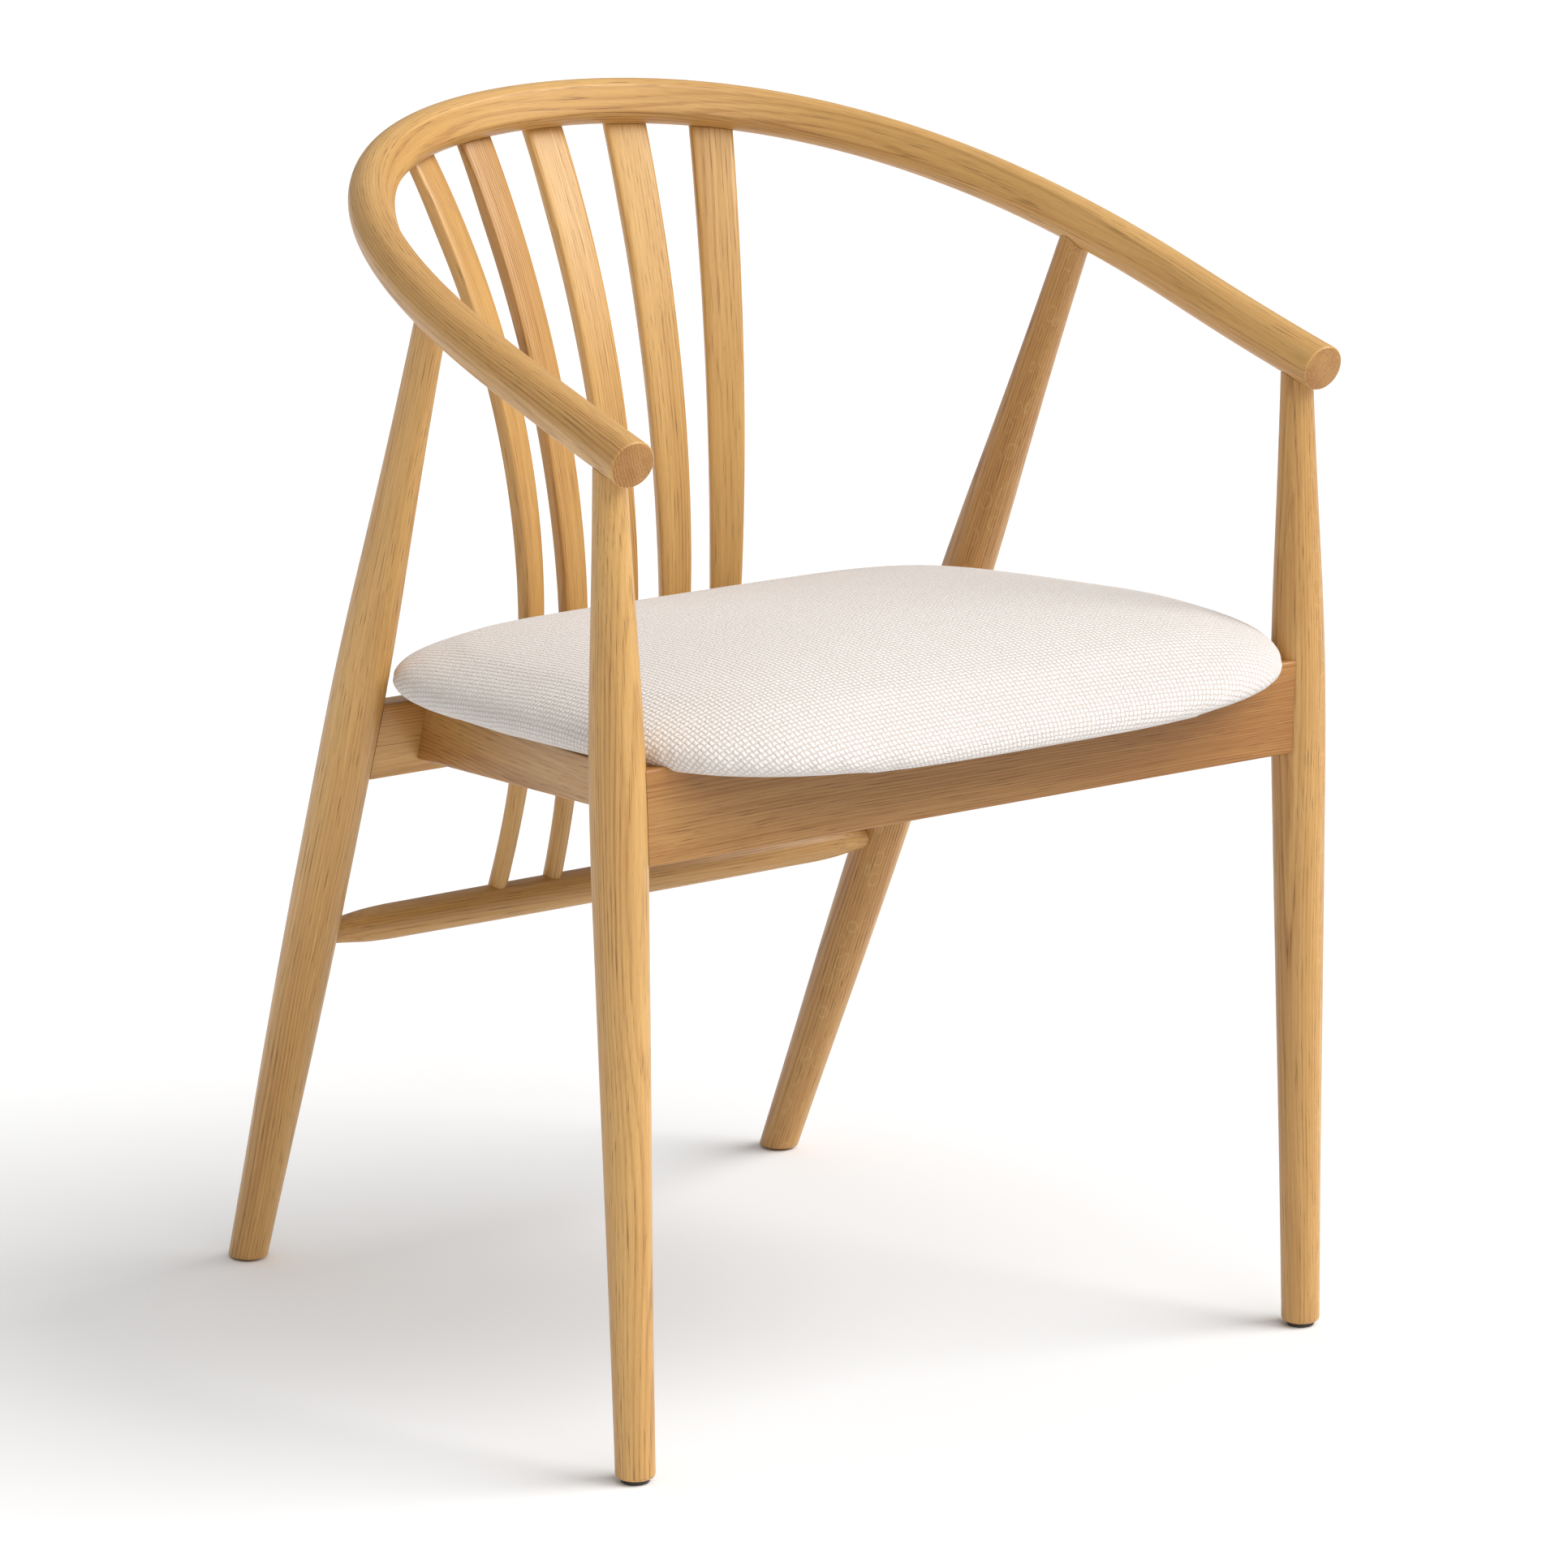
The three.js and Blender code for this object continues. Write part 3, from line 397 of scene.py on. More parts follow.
def rounded_box_outline(corners, radius, steps=5):
    """A polygon's outline with rounded corners, counter-clockwise, as (x, y) points."""
    corners = np.asarray(corners, float)
    points = []
    count = len(corners)
    for i in range(count):
        before, here, after = corners[i - 1], corners[i], corners[(i + 1) % count]
        to_before, to_after = unit(before - here), unit(after - here)
        half = math.acos(np.clip(to_before @ to_after, -1, 1)) / 2
        reach = radius / math.tan(half)
        centre = here + unit(to_before + to_after) * radius / math.sin(half)
        start, end = here + to_before * reach, here + to_after * reach
        a0 = math.atan2(*(start - centre)[::-1])
        a1 = math.atan2(*(end - centre)[::-1])
        turn = (a1 - a0 + math.pi) % (2 * math.pi) - math.pi
        for k in range(steps + 1):
            a = a0 + turn * k / steps
            points.append(centre + radius * np.array([math.cos(a), math.sin(a)]))
    return np.array(points)


def rail_outline(corners):
    """A rail's outline with eased edges, its sides split into steps."""
    points = rounded_box_outline(corners, RAIL_EDGE)
    out = []
    for i, p in enumerate(points):
        q = points[(i + 1) % len(points)]
        n = max(1, int(np.ceil(np.linalg.norm(q - p) / OUTLINE_STEP)))
        out += [p + (q - p) * k / n for k in range(n)]
    return np.array(out)


def bar(section, start, end, stations, shares=(0.3, 0.65)):
    """Rings of a bar whose ends follow start and end, which give t for each line of the
    outline at a share of its size. section(t, share) gives the points."""
    rings = [section(start(s), s) for s in shares]
    t0, t1 = start(1.0), end(1.0)
    rings += [section(t0 + (t1 - t0) * t, 1.0) for t in np.linspace(0, 1, stations)]
    rings += [section(end(s), s) for s in reversed(shares)]
    return np.array(rings)


def between_legs(section, kind, sides, reach, stations):
    """Rings of a bar that runs from the left leg of a kind to the right one."""

    def ends(side):
        def at(share):
            start = np.full(sides, side * reach)
            inside = lambda p: in_leg(p, kind, side)
            return trimmed(lambda t: section(t, share), inside, start, side * 2.0, 40)
        return at

    return bar(section, ends(-1), ends(1), stations)


def build_front_rail():
    height, depth = FRONT_RAIL_HEIGHT, RAIL_THICKNESS
    middle = np.array([SEAT_FRONT_Y + depth / 2, SEAT_HEIGHT - height / 2])
    back_top = height / 2 - depth * math.tan(SEAT_PITCH)
    low = [(-depth / 2, -height / 2), (depth / 2, -height / 2)]
    outline = rail_outline([*low, (depth / 2, back_top), (-depth / 2, height / 2)])

    def section(t, share):
        yz = outline * share + middle
        return np.column_stack([np.broadcast_to(t, len(outline)), yz])

    rings = between_legs(section, "front", len(outline), 225.0, 90)
    grain = rings[..., [1, 2, 0]] - [middle[0], middle[1], 0]
    return rings, grain


def rake(points):
    """Turns points drawn upright at y = 0 into the rear legs' plane."""
    x, y, z = np.moveaxis(np.asarray(points, float), -1, 0)
    level = y * RAKE_COS - z * RAKE_SIN + REAR_FOOT[1]
    return np.stack([x, level, y * RAKE_SIN + z * RAKE_COS], -1)


def unrake(points):
    """Turns points in the rear legs' plane back upright, at y = 0."""
    x, y, z = np.moveaxis(np.asarray(points, float) - [0, REAR_FOOT[1], 0], -1, 0)
    return np.stack([x, y * RAKE_COS + z * RAKE_SIN, -y * RAKE_SIN + z * RAKE_COS], -1)


REAR_RAIL_LOW = (REAR_RAIL_BOTTOM + RAIL_THICKNESS / 2 * RAKE_SIN) / RAKE_COS


def rear_rail_top(depth):
    """How far up the rake the frame's plane cuts the rear rail, at a place in its depth."""
    slope = math.tan(SEAT_PITCH)
    base = SEAT_HEIGHT - slope * (REAR_FOOT[1] + depth * RAKE_COS - SEAT_FRONT_Y)
    return (base - depth * RAKE_SIN) / (RAKE_COS - slope * RAKE_SIN)


def build_rear_rail():
    half = RAIL_THICKNESS / 2
    low = [(-half, REAR_RAIL_LOW), (half, REAR_RAIL_LOW)]
    outline = rail_outline([*low, (half, rear_rail_top(half)), (-half, rear_rail_top(-half))])
    middle = outline.mean(0)

    def section(t, share):
        yz = (outline - middle) * share + middle
        return rake(np.column_stack([np.broadcast_to(t, len(outline)), yz]))

    rings = between_legs(section, "rear", len(outline), 200.0, 80)
    grain = unrake(rings)[..., [1, 2, 0]] - [0, REAR_RAIL_LOW + REAR_RAIL_HEIGHT / 2 - 0.5, 0]
    return rings, grain


def side_rail_outer(y):
    return SIDE_RAIL_FRONT_X - SIDE_SPLAY * y


def build_side_rail(side):
    front_low = frame_top(0) - SIDE_RAIL_FRONT_HEIGHT
    rear_low = frame_top(SIDE_RAIL_REAR_Y) - SIDE_RAIL_REAR_HEIGHT
    slope = (rear_low - front_low) / SIDE_RAIL_REAR_Y
    start_y = SEAT_FRONT_Y + RAIL_THICKNESS + SEAM
    wide, tall = RAIL_THICKNESS / 2, 20
    pattern = rail_outline([(-wide, -tall), (wide, -tall), (wide, tall), (-wide, tall)])
    across, up = pattern.T
    flat = tall - RAIL_EDGE  # how far up the pattern its eased edges start

    def section(t, share):
        """The pattern, stretched between its edges to the rail's height at each depth."""
        y = np.broadcast_to(t, len(across))
        low, high = front_low + slope * y, frame_top(y)
        inner = np.clip(up / flat, -1, 1)
        z = (low + high) / 2 + share * (inner * ((high - low) / 2 - RAIL_EDGE) + (up - inner * flat))
        x = side_rail_outer(y) - RAIL_THICKNESS / 2 + share * across
        return np.column_stack([side * x, y, z])

    def front(share):
        start = np.full(len(across), 60.0)
        def hit(p):
            return (p[:, 1] < start_y) | in_leg(p, "front", side)
        return trimmed(lambda t: section(t, share), hit, start, -2.0, 40)

    def back(share):
        start = np.full(len(across), 330.0)
        def hit(p):
            return unrake(p)[:, 1] > -RAIL_THICKNESS / 2 - SEAM
        return trimmed(lambda t: section(t, share), hit, start, 2.0, 40)

    rings = bar(section, front, back, 60)
    if side < 0:
        rings = rings[:, ::-1]
    rings = rings[:, ::-1]
    inward = rings[..., 0] * side - side_rail_outer(rings[..., 1])
    upward = rings[..., 2] - frame_top(rings[..., 1])
    grain = np.stack([inward, upward, rings[..., 1]], -1)
    return rings, grain


STRETCHER_HEIGHT = 248
STRETCHER_PROFILE = [  # radius at distances from the shoulder
    (0, 8), (6, 8.1), (14, 8.8), (22, 9.8), (30, 10.7), (44, 11.5), (70, 11.7), (400, 11.7),
]


def build_stretcher():
    sides = 56
    y = REAR_FOOT[1] + REAR_LEAN[1] * STRETCHER_HEIGHT
    half = REAR_FOOT[0] + REAR_LEAN[0] * STRETCHER_HEIGHT
    shoulder = half - 10
    ring = circle(sides)

    def section(t, share):
        t = np.broadcast_to(t, sides)
        radius = share * hermite(STRETCHER_PROFILE, shoulder - np.abs(t))
        return np.column_stack([t, y + ring[:, 0] * radius, STRETCHER_HEIGHT + ring[:, 1] * radius])

    rings = between_legs(section, "rear", sides, 190.0, 150)
    grain = rings[..., [1, 2, 0]] - [y, STRETCHER_HEIGHT, 0]
    return rings, grain


SLAT_LOW, SLAT_HIGH = 252, 740
SLAT_FOOT_DEPTH = 8
SLAT_FOOT_Y = 419.7
SLAT_SQUARED = (300, 470)  # heights between which the round foot turns into a flat slat
SLAT_SQUARENESS = 2.6
SLAT_PARED = (690, 750)  # heights between which the back is pared away to half
SLATS = [  # Bezier points of x and of y, and the turn in degrees, for the middle slat and outwards
    ([0, 0, 0, 0], [SLAT_FOOT_Y, 372.1, 385.3, 481], 0),
    ([41.4, 36.7, 41.6, 59.3], [SLAT_FOOT_Y, 367.8, 386.8, 473.3], 15.3),
    ([85.4, 70.5, 73.5, 115], [SLAT_FOOT_Y, 367.6, 370.6, 454.7], 27.5),
]
SLAT_WIDTH = [
    (252, 12.5), (300, 14), (360, 16.5), (430, 20.3), (520, 23.5), (630, 26.4), (745, 29.1), (780, 29.8),
]
SLAT_THICKNESS = [(252, 12.5), (300, 12.1), (400, 11.4), (520, 11), (745, 10.5), (780, 10.4)]


def slat_centre(number, height):
    x, y, _ = SLATS[abs(number)]
    t = (np.asarray(height, float) - SLAT_LOW) / (SLAT_HIGH - SLAT_LOW)
    sign = -1 if number < 0 else 1
    return np.stack([sign * bezier(x, t), bezier(y, t), np.asarray(height, float)], -1)


def build_slat(number):
    sides = 64
    angle = math.radians(SLATS[abs(number)][2]) * (-1 if number < 0 else 1)
    ring = circle(sides)
    sideways = np.array([math.cos(angle), -math.sin(angle), 0])

    def section(t, share):
        h = np.broadcast_to(t, sides).astype(float)
        centre = slat_centre(number, h)
        along = unit(slat_centre(number, h + 1) - slat_centre(number, h - 1))
        forward = unit(np.cross(along, sideways))
        power = 2 / (2 + SLAT_SQUARENESS * smoothstep(*SLAT_SQUARED, h))
        u = np.sign(ring[:, 0]) * np.abs(ring[:, 0]) ** power * hermite(SLAT_WIDTH, h) / 2
        v = np.sign(ring[:, 1]) * np.abs(ring[:, 1]) ** power * hermite(SLAT_THICKNESS, h) / 2
        # towards the bow the back is pared away, so that the slat ends inside the bow
        v = np.where(v > 0, v * (1 - 0.5 * smoothstep(*SLAT_PARED, h)), v)
        return centre + share * (u[:, None] * sideways + v[:, None] * forward)

    def low(share):
        """The foot stops inside the stretcher."""
        return np.full(sides, float(SLAT_LOW - SLAT_FOOT_DEPTH))

    def top(share):
        start = np.full(sides, 690.0)
        return trimmed(lambda t: section(t, share), in_bow, start, 4.0, 40)

    rings = bar(section, low, top, 130)
    lengths = rings[..., 2]
    centre = slat_centre(number, lengths)
    offset = rings - centre
    grain = np.stack([offset @ sideways, offset[..., 1], lengths], -1)
    return rings, grain


# ---------------------------------------------------------------- materials


class Nodes:
    """Short hands for building a node material."""

    def __init__(self, name):
        self.material = bpy.data.materials.new(name)
        self.material.use_nodes = True
        self.tree = self.material.node_tree
        self.shader = self.tree.nodes["Principled BSDF"]

    def put(self, socket, value):
        if isinstance(value, bpy.types.NodeSocket):
            self.tree.links.new(value, socket)
        elif isinstance(value, (tuple, list)) and len(value) == 3 and socket.type == "RGBA":
            socket.default_value = (*value, 1)
        else:
            socket.default_value = value

    def node(self, kind, inputs=(), out=0, **settings):
        made = self.tree.nodes.new("ShaderNode" + kind)
        for key, value in settings.items():
            setattr(made, key, value)
        for socket, value in inputs:
            self.put(made.inputs[socket], value)
        return made.outputs[out]

    def attribute(self, name, out="Vector"):
        return self.node("Attribute", out=out, attribute_name=name)

    def math(self, operation, *values, clamp=False):
        return self.node("Math", list(enumerate(values)), operation=operation, use_clamp=clamp)

    def vector(self, operation, *values, out=0):
        return self.node("VectorMath", list(enumerate(values)), out=out, operation=operation)

    def noise(self, place, scale=1.0, detail=2.0, rough=0.5, out="Fac"):
        inputs = [("Vector", place), ("Scale", scale), ("Detail", detail), ("Roughness", rough)]
        return self.node("TexNoise", inputs, out=out)

    def range(self, value, low, high, to_low=0.0, to_high=1.0, smooth=True):
        kind = "SMOOTHSTEP" if smooth else "LINEAR"
        inputs = [(0, value), (1, low), (2, high), (3, to_low), (4, to_high)]
        return self.node("MapRange", inputs, interpolation_type=kind)

    def mix(self, factor, a, b, blend="MIX"):
        inputs = [(0, factor), (6, a), (7, b)]
        return self.node("Mix", inputs, out=2, data_type="RGBA", blend_type=blend)

    def times(self, value, share):
        return self.math("MULTIPLY", value, share)

    def around_half(self, value, share):
        """A texture's value less a half, times a share."""
        return self.times(self.math("SUBTRACT", value, 0.5), share)

    def total(self, value, *others, clamp=False):
        for other in others:
            value = self.math("ADD", value, other)
        value.node.use_clamp = clamp
        return value

    def scaled(self, vector, share):
        return self.node("VectorMath", [(0, vector), ("Scale", share)], operation="SCALE")

    def wander(self, place, reach, scale=1.0, rough=0.5):
        """A soft random shift, up to about half the reach either way."""
        color = self.noise(place, scale, 2, rough, "Color")
        return self.scaled(self.vector("SUBTRACT", color, (0.5, 0.5, 0.5)), reach)

    def bump(self, height, distance, strength):
        return self.node("Bump", [("Strength", strength), ("Distance", distance), ("Height", height)])

    def finish(self, **values):
        for socket, value in values.items():
            self.put(self.shader.inputs[socket.replace("_", " ")], value)
        return self.material


def stretched(nodes, place, across, along):
    """Scales a place in a plank, per metre across and along its grain."""
    return nodes.vector("MULTIPLY", place, (across, across, along))


def wood(name, light, dark, pore, ray, ring, rough):
    """Planed timber. The grain attribute holds the place in the plank, with the pith at (0, 0) and
    the grain along z; tone makes a piece redder and darker, or paler below zero."""
    n = Nodes(name)
    place = n.attribute("grain")
    bent = n.vector("ADD", place, n.wander(stretched(n, place, 9, 1.6), 0.03))
    bent = n.vector("ADD", bent, n.wander(stretched(n, place, 90, 9), 0.0016, rough=0.55))
    radius = n.vector("LENGTH", n.vector("MULTIPLY", bent, (1, 1, 0)), out=1)
    rings = n.math("DIVIDE", radius, ring * MM)
    year = n.math("FRACT", rings)
    early = n.times(n.range(year, 0.0, 0.14), n.range(year, 0.62, 0.2))
    yearly = n.node("TexWhiteNoise", [("W", n.math("FLOOR", rings))], noise_dimensions="1D")
    # fine dark dashes, mostly where the pores of a year's first wood are cut open
    dash = n.noise(stretched(n, bent, 1500, 34), 1, 1, 0.4)
    short_dash = n.noise(stretched(n, bent, 2600, 110), 1, 1, 0.4)
    open_pores = n.total(
        n.times(n.range(dash, 0.56, 0.7), n.total(n.times(early, 0.8), 0.2)),
        n.times(n.range(short_dash, 0.62, 0.74), 0.35),
        clamp=True,
    )
    fibre = n.noise(stretched(n, bent, 700, 9), 1, 3, 0.6)
    broad = n.noise(stretched(n, place, 34, 2.2), 1, 2, 0.5)
    shade = n.total(
        n.times(early, n.range(broad, 0.3, 0.7, 0.08, 0.3)),
        n.around_half(fibre, 0.75),
        n.around_half(broad, 0.9),
        n.around_half(yearly, 0.12),
        # tone: each piece's own colour, and on the rails and the stretcher also painted shade
        n.attribute("tone_and_shade", "Fac"),
        n.times(n.attribute("end", "Fac"), 0.5),
        0.3,
        clamp=True,
    )
    color = n.mix(shade, light, dark)
    # ray flecks: chains of pale lens outlines where the rays are cut along their length
    lens = n.node("TexVoronoi", [("Vector", stretched(n, bent, 120, 70)), ("Scale", 1.0)], "Distance")
    rim = n.range(n.math("ABSOLUTE", n.math("SUBTRACT", lens, 0.42)), 0.08, 0.0)
    color = n.mix(n.math("MULTIPLY", rim, n.attribute("fleck", "Fac"), clamp=True), color, ray)
    color = n.mix(n.times(open_pores, 0.6), color, pore)
    height = n.math("SUBTRACT", n.times(fibre, 0.35), n.times(open_pores, 0.9))
    height = n.total(height, n.times(early, -0.2))
    roughness = n.total(rough, n.around_half(fibre, 0.25), n.times(open_pores, 0.2), clamp=True)
    sheen = {"Coat_Weight": 0.15, "Coat_Roughness": 0.3, "Specular_IOR_Level": 0.5}
    bump = n.bump(height, 0.00012, 0.55)
    return n.finish(Base_Color=color, Roughness=roughness, Normal=bump, **sheen)


def woven(name, light, shadow, cell):
    """A plump basket weave of loopy yarn; the weave attribute is a place on the cloth, in metres."""
    n = Nodes(name)
    place = n.attribute("weave")
    jitter = n.wander(place, cell * MM * 0.55, 260)
    at = n.scaled(n.vector("ADD", place, jitter), 1 / (cell * MM))
    split = n.node("SeparateXYZ", [("Vector", at)])
    u, v = split.node.outputs[0], split.node.outputs[1]
    across = n.math("ABSOLUTE", n.math("SINE", n.times(u, math.pi)))
    down = n.math("ABSOLUTE", n.math("SINE", n.times(v, math.pi)))
    cells = n.total(n.math("FLOOR", u), n.math("FLOOR", v))
    odd = n.math("MODULO", n.math("ABSOLUTE", cells), 2.0)
    warp = n.times(n.math("POWER", across, 0.9), n.math("POWER", down, 0.35))
    weft = n.times(n.math("POWER", down, 0.9), n.math("POWER", across, 0.35))
    yarn = n.node("Mix", [(0, odd), (2, warp), (3, weft)], data_type="FLOAT")
    fuzz = n.noise(place, 2600, 3, 0.65)
    loops = n.noise(place, 620, 2, 0.5)
    height = n.total(yarn, n.around_half(loops, 0.9), n.around_half(fuzz, 0.35))
    shade = n.times(n.range(height, 0.2, 0.95, 1.0, 0.0), 0.75)
    shade = n.total(shade, n.around_half(n.noise(place, 28, 3, 0.6), 0.18), clamp=True)
    color = n.mix(shade, light, shadow)
    # black at the pad's lower edge: real lining in part, run all round the edge as a painted contact
    # shadow between the pad and the rails
    color = n.mix(n.attribute("lining", "Fac"), color, (0.012, 0.012, 0.012))
    bump = n.bump(height, 0.0011, 0.75)
    sheen = {"Sheen_Weight": 0.25, "Sheen_Roughness": 0.6, "Specular_IOR_Level": 0.15}
    return n.finish(Base_Color=color, Roughness=0.95, Normal=bump, **sheen)


def from_object(n):
    return n.node("TexCoord", out="Object")


def lining():
    """Black spun lining under the seat board."""
    n = Nodes("black_lining")
    place = from_object(n)
    fibres = n.noise(n.vector("MULTIPLY", place, (900, 900, 900)), 1, 4, 0.7)
    color = n.mix(fibres, (0.006, 0.006, 0.006), (0.03, 0.029, 0.028))
    return n.finish(Base_Color=color, Roughness=0.95, Normal=n.bump(fibres, 0.0003, 0.6))


def veneer():
    """Beech plywood: a faint long grain on the face and dark glue lines round the edge."""
    n = Nodes("plywood")
    place = from_object(n)
    fibre = n.noise(n.vector("MULTIPLY", place, (12, 420, 420)), 1, 4, 0.6)
    z = n.node("SeparateXYZ", [("Vector", place)], out=2)
    layer = n.math("FRACT", n.math("MULTIPLY", z, 650.0))
    glue = n.range(n.math("ABSOLUTE", n.math("SUBTRACT", layer, 0.5)), 0.06, 0.0)
    color = n.mix(fibre, (0.5, 0.32, 0.17), (0.36, 0.21, 0.1))
    color = n.mix(n.math("MULTIPLY", glue, 0.5), color, (0.12, 0.06, 0.03))
    return n.finish(Base_Color=color, Roughness=0.7, Normal=n.bump(fibre, 0.0002, 0.4))


def beech():
    n = Nodes("beech")
    place = from_object(n)
    fibre = n.noise(n.vector("MULTIPLY", place, (14, 600, 600)), 1, 3, 0.6)
    flecks = n.noise(n.vector("MULTIPLY", place, (220, 1500, 1500)), 1, 1, 0.4)
    color = n.mix(fibre, (0.6, 0.4, 0.24), (0.45, 0.27, 0.14))
    color = n.mix(n.range(flecks, 0.6, 0.72, 0, 0.5), color, (0.3, 0.15, 0.07))
    return n.finish(Base_Color=color, Roughness=0.62, Normal=n.bump(fibre, 0.0002, 0.4))


def zinc():
    n = Nodes("zinc_screw")
    place = from_object(n)
    cloud = n.noise(place, 900, 3, 0.6)
    scratch = n.noise(n.vector("MULTIPLY", place, (5000, 5000, 300)), 1, 2, 0.5)
    color = n.mix(cloud, (0.5, 0.5, 0.47), (0.72, 0.72, 0.7))
    roughness = n.range(scratch, 0.2, 0.8, 0.25, 0.5, False)
    bump = n.bump(scratch, 0.00005, 0.5)
    return n.finish(Base_Color=color, Metallic=1.0, Roughness=roughness, Normal=bump)


def nylon():
    n = Nodes("nylon_glide")
    place = from_object(n)
    dust = n.noise(place, 1400, 4, 0.7)
    color = n.mix(n.range(dust, 0.5, 0.7), (0.025, 0.021, 0.018), (0.07, 0.06, 0.05))
    roughness = n.range(dust, 0.3, 0.7, 0.4, 0.65, False)
    return n.finish(Base_Color=color, Roughness=roughness, Normal=n.bump(dust, 0.0001, 0.4))


def pale_floor():
    n = Nodes("pale_floor")
    cloud = n.noise(from_object(n), 3, 2, 0.5)
    color = n.mix(cloud, (0.93, 0.93, 0.93), (0.94, 0.94, 0.94))
    return n.finish(Base_Color=color, Roughness=0.9, Specular_IOR_Level=0.0)


OAK = wood(
    "oak", light=(0.69, 0.405, 0.13), dark=(0.34, 0.135, 0.024), pore=(0.14, 0.052, 0.01),
    ray=(0.72, 0.47, 0.2), ring=1.9, rough=0.42,
)
CREAM = woven("cream_fabric", (0.9, 0.865, 0.835), (0.68, 0.58, 0.51), 3.5)
HIDDEN = {
    "beech": beech(),
    "plywood": veneer(),
    "black_lining": lining(),
    "zinc_screw": zinc(),
    "nylon_glide": nylon(),
}

# ---------------------------------------------------------------- wooden pieces


# pieces that show ray fleck, and the side of the leg it lies on
FLECKED = {"rear_leg_right": math.radians(-125), "front_leg_right": math.radians(-60)}
FLECK_STRENGTH = 0.3
FLECK_SPREAD = 0.45  # in radians round the leg


def oak_piece(node, built, tone_and_shade, plank, caps=(0, 0)):
    """One oak piece in place of its CAD node; plank is where it was cut from its tree."""
    rings, grain = built
    piece = closed_tube(f"{node}_oak", rings, grain + np.array(plank, float), OAK, tone_and_shade, caps)
    if node in FLECKED:
        x, y = grain.reshape(-1, 3)[:, :2].T
        turn = (np.arctan2(y, x) - FLECKED[node] + math.pi) % (2 * math.pi) - math.pi
        paint(piece.data, "fleck", FLECK_STRENGTH * np.exp(-((turn / FLECK_SPREAD) ** 2)))
    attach(piece, "root")
    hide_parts(node)
    return piece


oak_piece("bow_rail", build_bow(), -0.06, (70, -30, 0), (2, 2))
oak_piece("front_leg_left", build_leg("front", -1), -0.12, (18, -46, 300))
oak_piece("front_leg_right", build_leg("front", 1), 0.08, (44, 25, 1900))
oak_piece("rear_leg_left", build_leg("rear", -1), 0.02, (-52, 30, 800))
oak_piece("rear_leg_right", build_leg("rear", 1), 0.2, (61, -17, 2500))
# painted shade: the rails and the stretcher get a darker tone than the legs and slats, standing in for
# the shade they lie in under the seat pad
oak_piece("front_rail", build_front_rail(), 0.5, (22, -24, 0))
oak_piece("rear_rail", build_rear_rail(), 0.16, (-30, 35, 1200))
oak_piece("side_rail_left", build_side_rail(-1), 0.34, (40, -20, 700))
oak_piece("side_rail_right", build_side_rail(1), 0.34, (-44, 18, 3300))
oak_piece("rear_stretcher", build_stretcher(), 0.22, (48, 30, 500))
SLAT_TONES = [0.08, 0.06, -0.06, -0.12, 0.0]
for number in range(-2, 3):
    plank = (56 - 9 * number, 22 + 13 * number, 450 * number)
    oak_piece(f"back_slat_{number + 3}", build_slat(number), SLAT_TONES[number + 2], plank)

# ---------------------------------------------------------------- seat cushion

PAD_HALF_WIDTH = 257
PAD_FRONT_Y = -65
PAD_BACK_Y = 364.5
PAD_WIDEST_Y = 137
PAD_SIDE = 27
PAD_CROWN = 16
PAD_SQUARE_FRONT = 3.6
PAD_SQUARE_BACK = 5.9
PAD_TAPER = 0.0775
PAD_SPREAD = 2.3  # the outline starts this much larger, because smoothing draws it in
PAD_SINK = 2.2  # the top starts this much lower
PAD_VOXEL = 5
PAD_CAP = 7.0  # how far the swelling may move a point
PAD_TOP_SHARE = 0.93  # of the outline, where the side turns into the top
PAD_RIM_SHARE = 0.955
PAD_MEAN_REACH = 240
PAD_RIM_HEIGHT = 5.1
PAD_RIM_SLOPE = 0.0126
PAD_LIP_START = 168  # from here forward the rim drops over the front rail
PAD_LIP_DROP = 21.5
PAD_SIDE_DROP = 5.5
PAD_HELD = (0.5, 7.0)  # heights over the rim between which the cloth comes free
PAD_LINING_AND_SHADOW = (0.4, 1.8)  # heights over the rim between which the black lining ends; run all round the lower edge, it is also a painted contact shadow
PAD_KNOTS = [
    (PAD_RIM_SHARE, 0), (0.985, 0.12 * PAD_SIDE), (1.0, 0.4 * PAD_SIDE), (0.995, 0.62 * PAD_SIDE),
    (0.975, 0.82 * PAD_SIDE), (PAD_TOP_SHARE, PAD_SIDE),
]


def pad_rim(x, y):
    """Height of the pad's lower edge over the plane of the seat frame's top."""
    drop = PAD_LIP_DROP * np.maximum(0, (PAD_LIP_START - y) / (PAD_LIP_START - PAD_FRONT_Y)) ** 3
    return PAD_RIM_HEIGHT + PAD_RIM_SLOPE * y - drop - PAD_SIDE_DROP * (x / PAD_HALF_WIDTH) ** 4


def pad_curve(count=60):
    """(share of the outline, height) from under the edge, round the side, to the middle."""
    side_points = 24
    shares, heights = np.array(PAD_KNOTS, float).T
    steps = np.hypot(np.diff(shares * PAD_MEAN_REACH), np.diff(heights))
    lengths = np.concatenate([[0], np.cumsum(steps)])
    along = np.linspace(0, lengths[-1], side_points)
    side = np.stack([hermite(list(zip(lengths, v)), along) for v in (shares, heights)], 1)
    share = np.linspace(PAD_TOP_SHARE, 0, count - side_points + 1)[1:]
    top = np.stack([share, PAD_SIDE + PAD_CROWN * (1 - (share / PAD_TOP_SHARE) ** 2.2)], 1)
    return np.concatenate([side, top])


def pad_outline(angle):
    """Reach of the pad's outline from its middle, at superellipse angles."""
    c, s = np.cos(angle), np.sin(angle)
    square = 2 / np.where(s > 0, PAD_SQUARE_BACK, PAD_SQUARE_FRONT)
    reach = np.where(s > 0, PAD_BACK_Y - PAD_WIDEST_Y, PAD_WIDEST_Y - PAD_FRONT_Y)
    back = np.sign(s) * np.abs(s) ** square
    x = PAD_HALF_WIDTH * (1 - PAD_TAPER * np.maximum(back, 0)) * np.sign(c) * np.abs(c) ** square
    return np.stack([x, reach * back], -1)


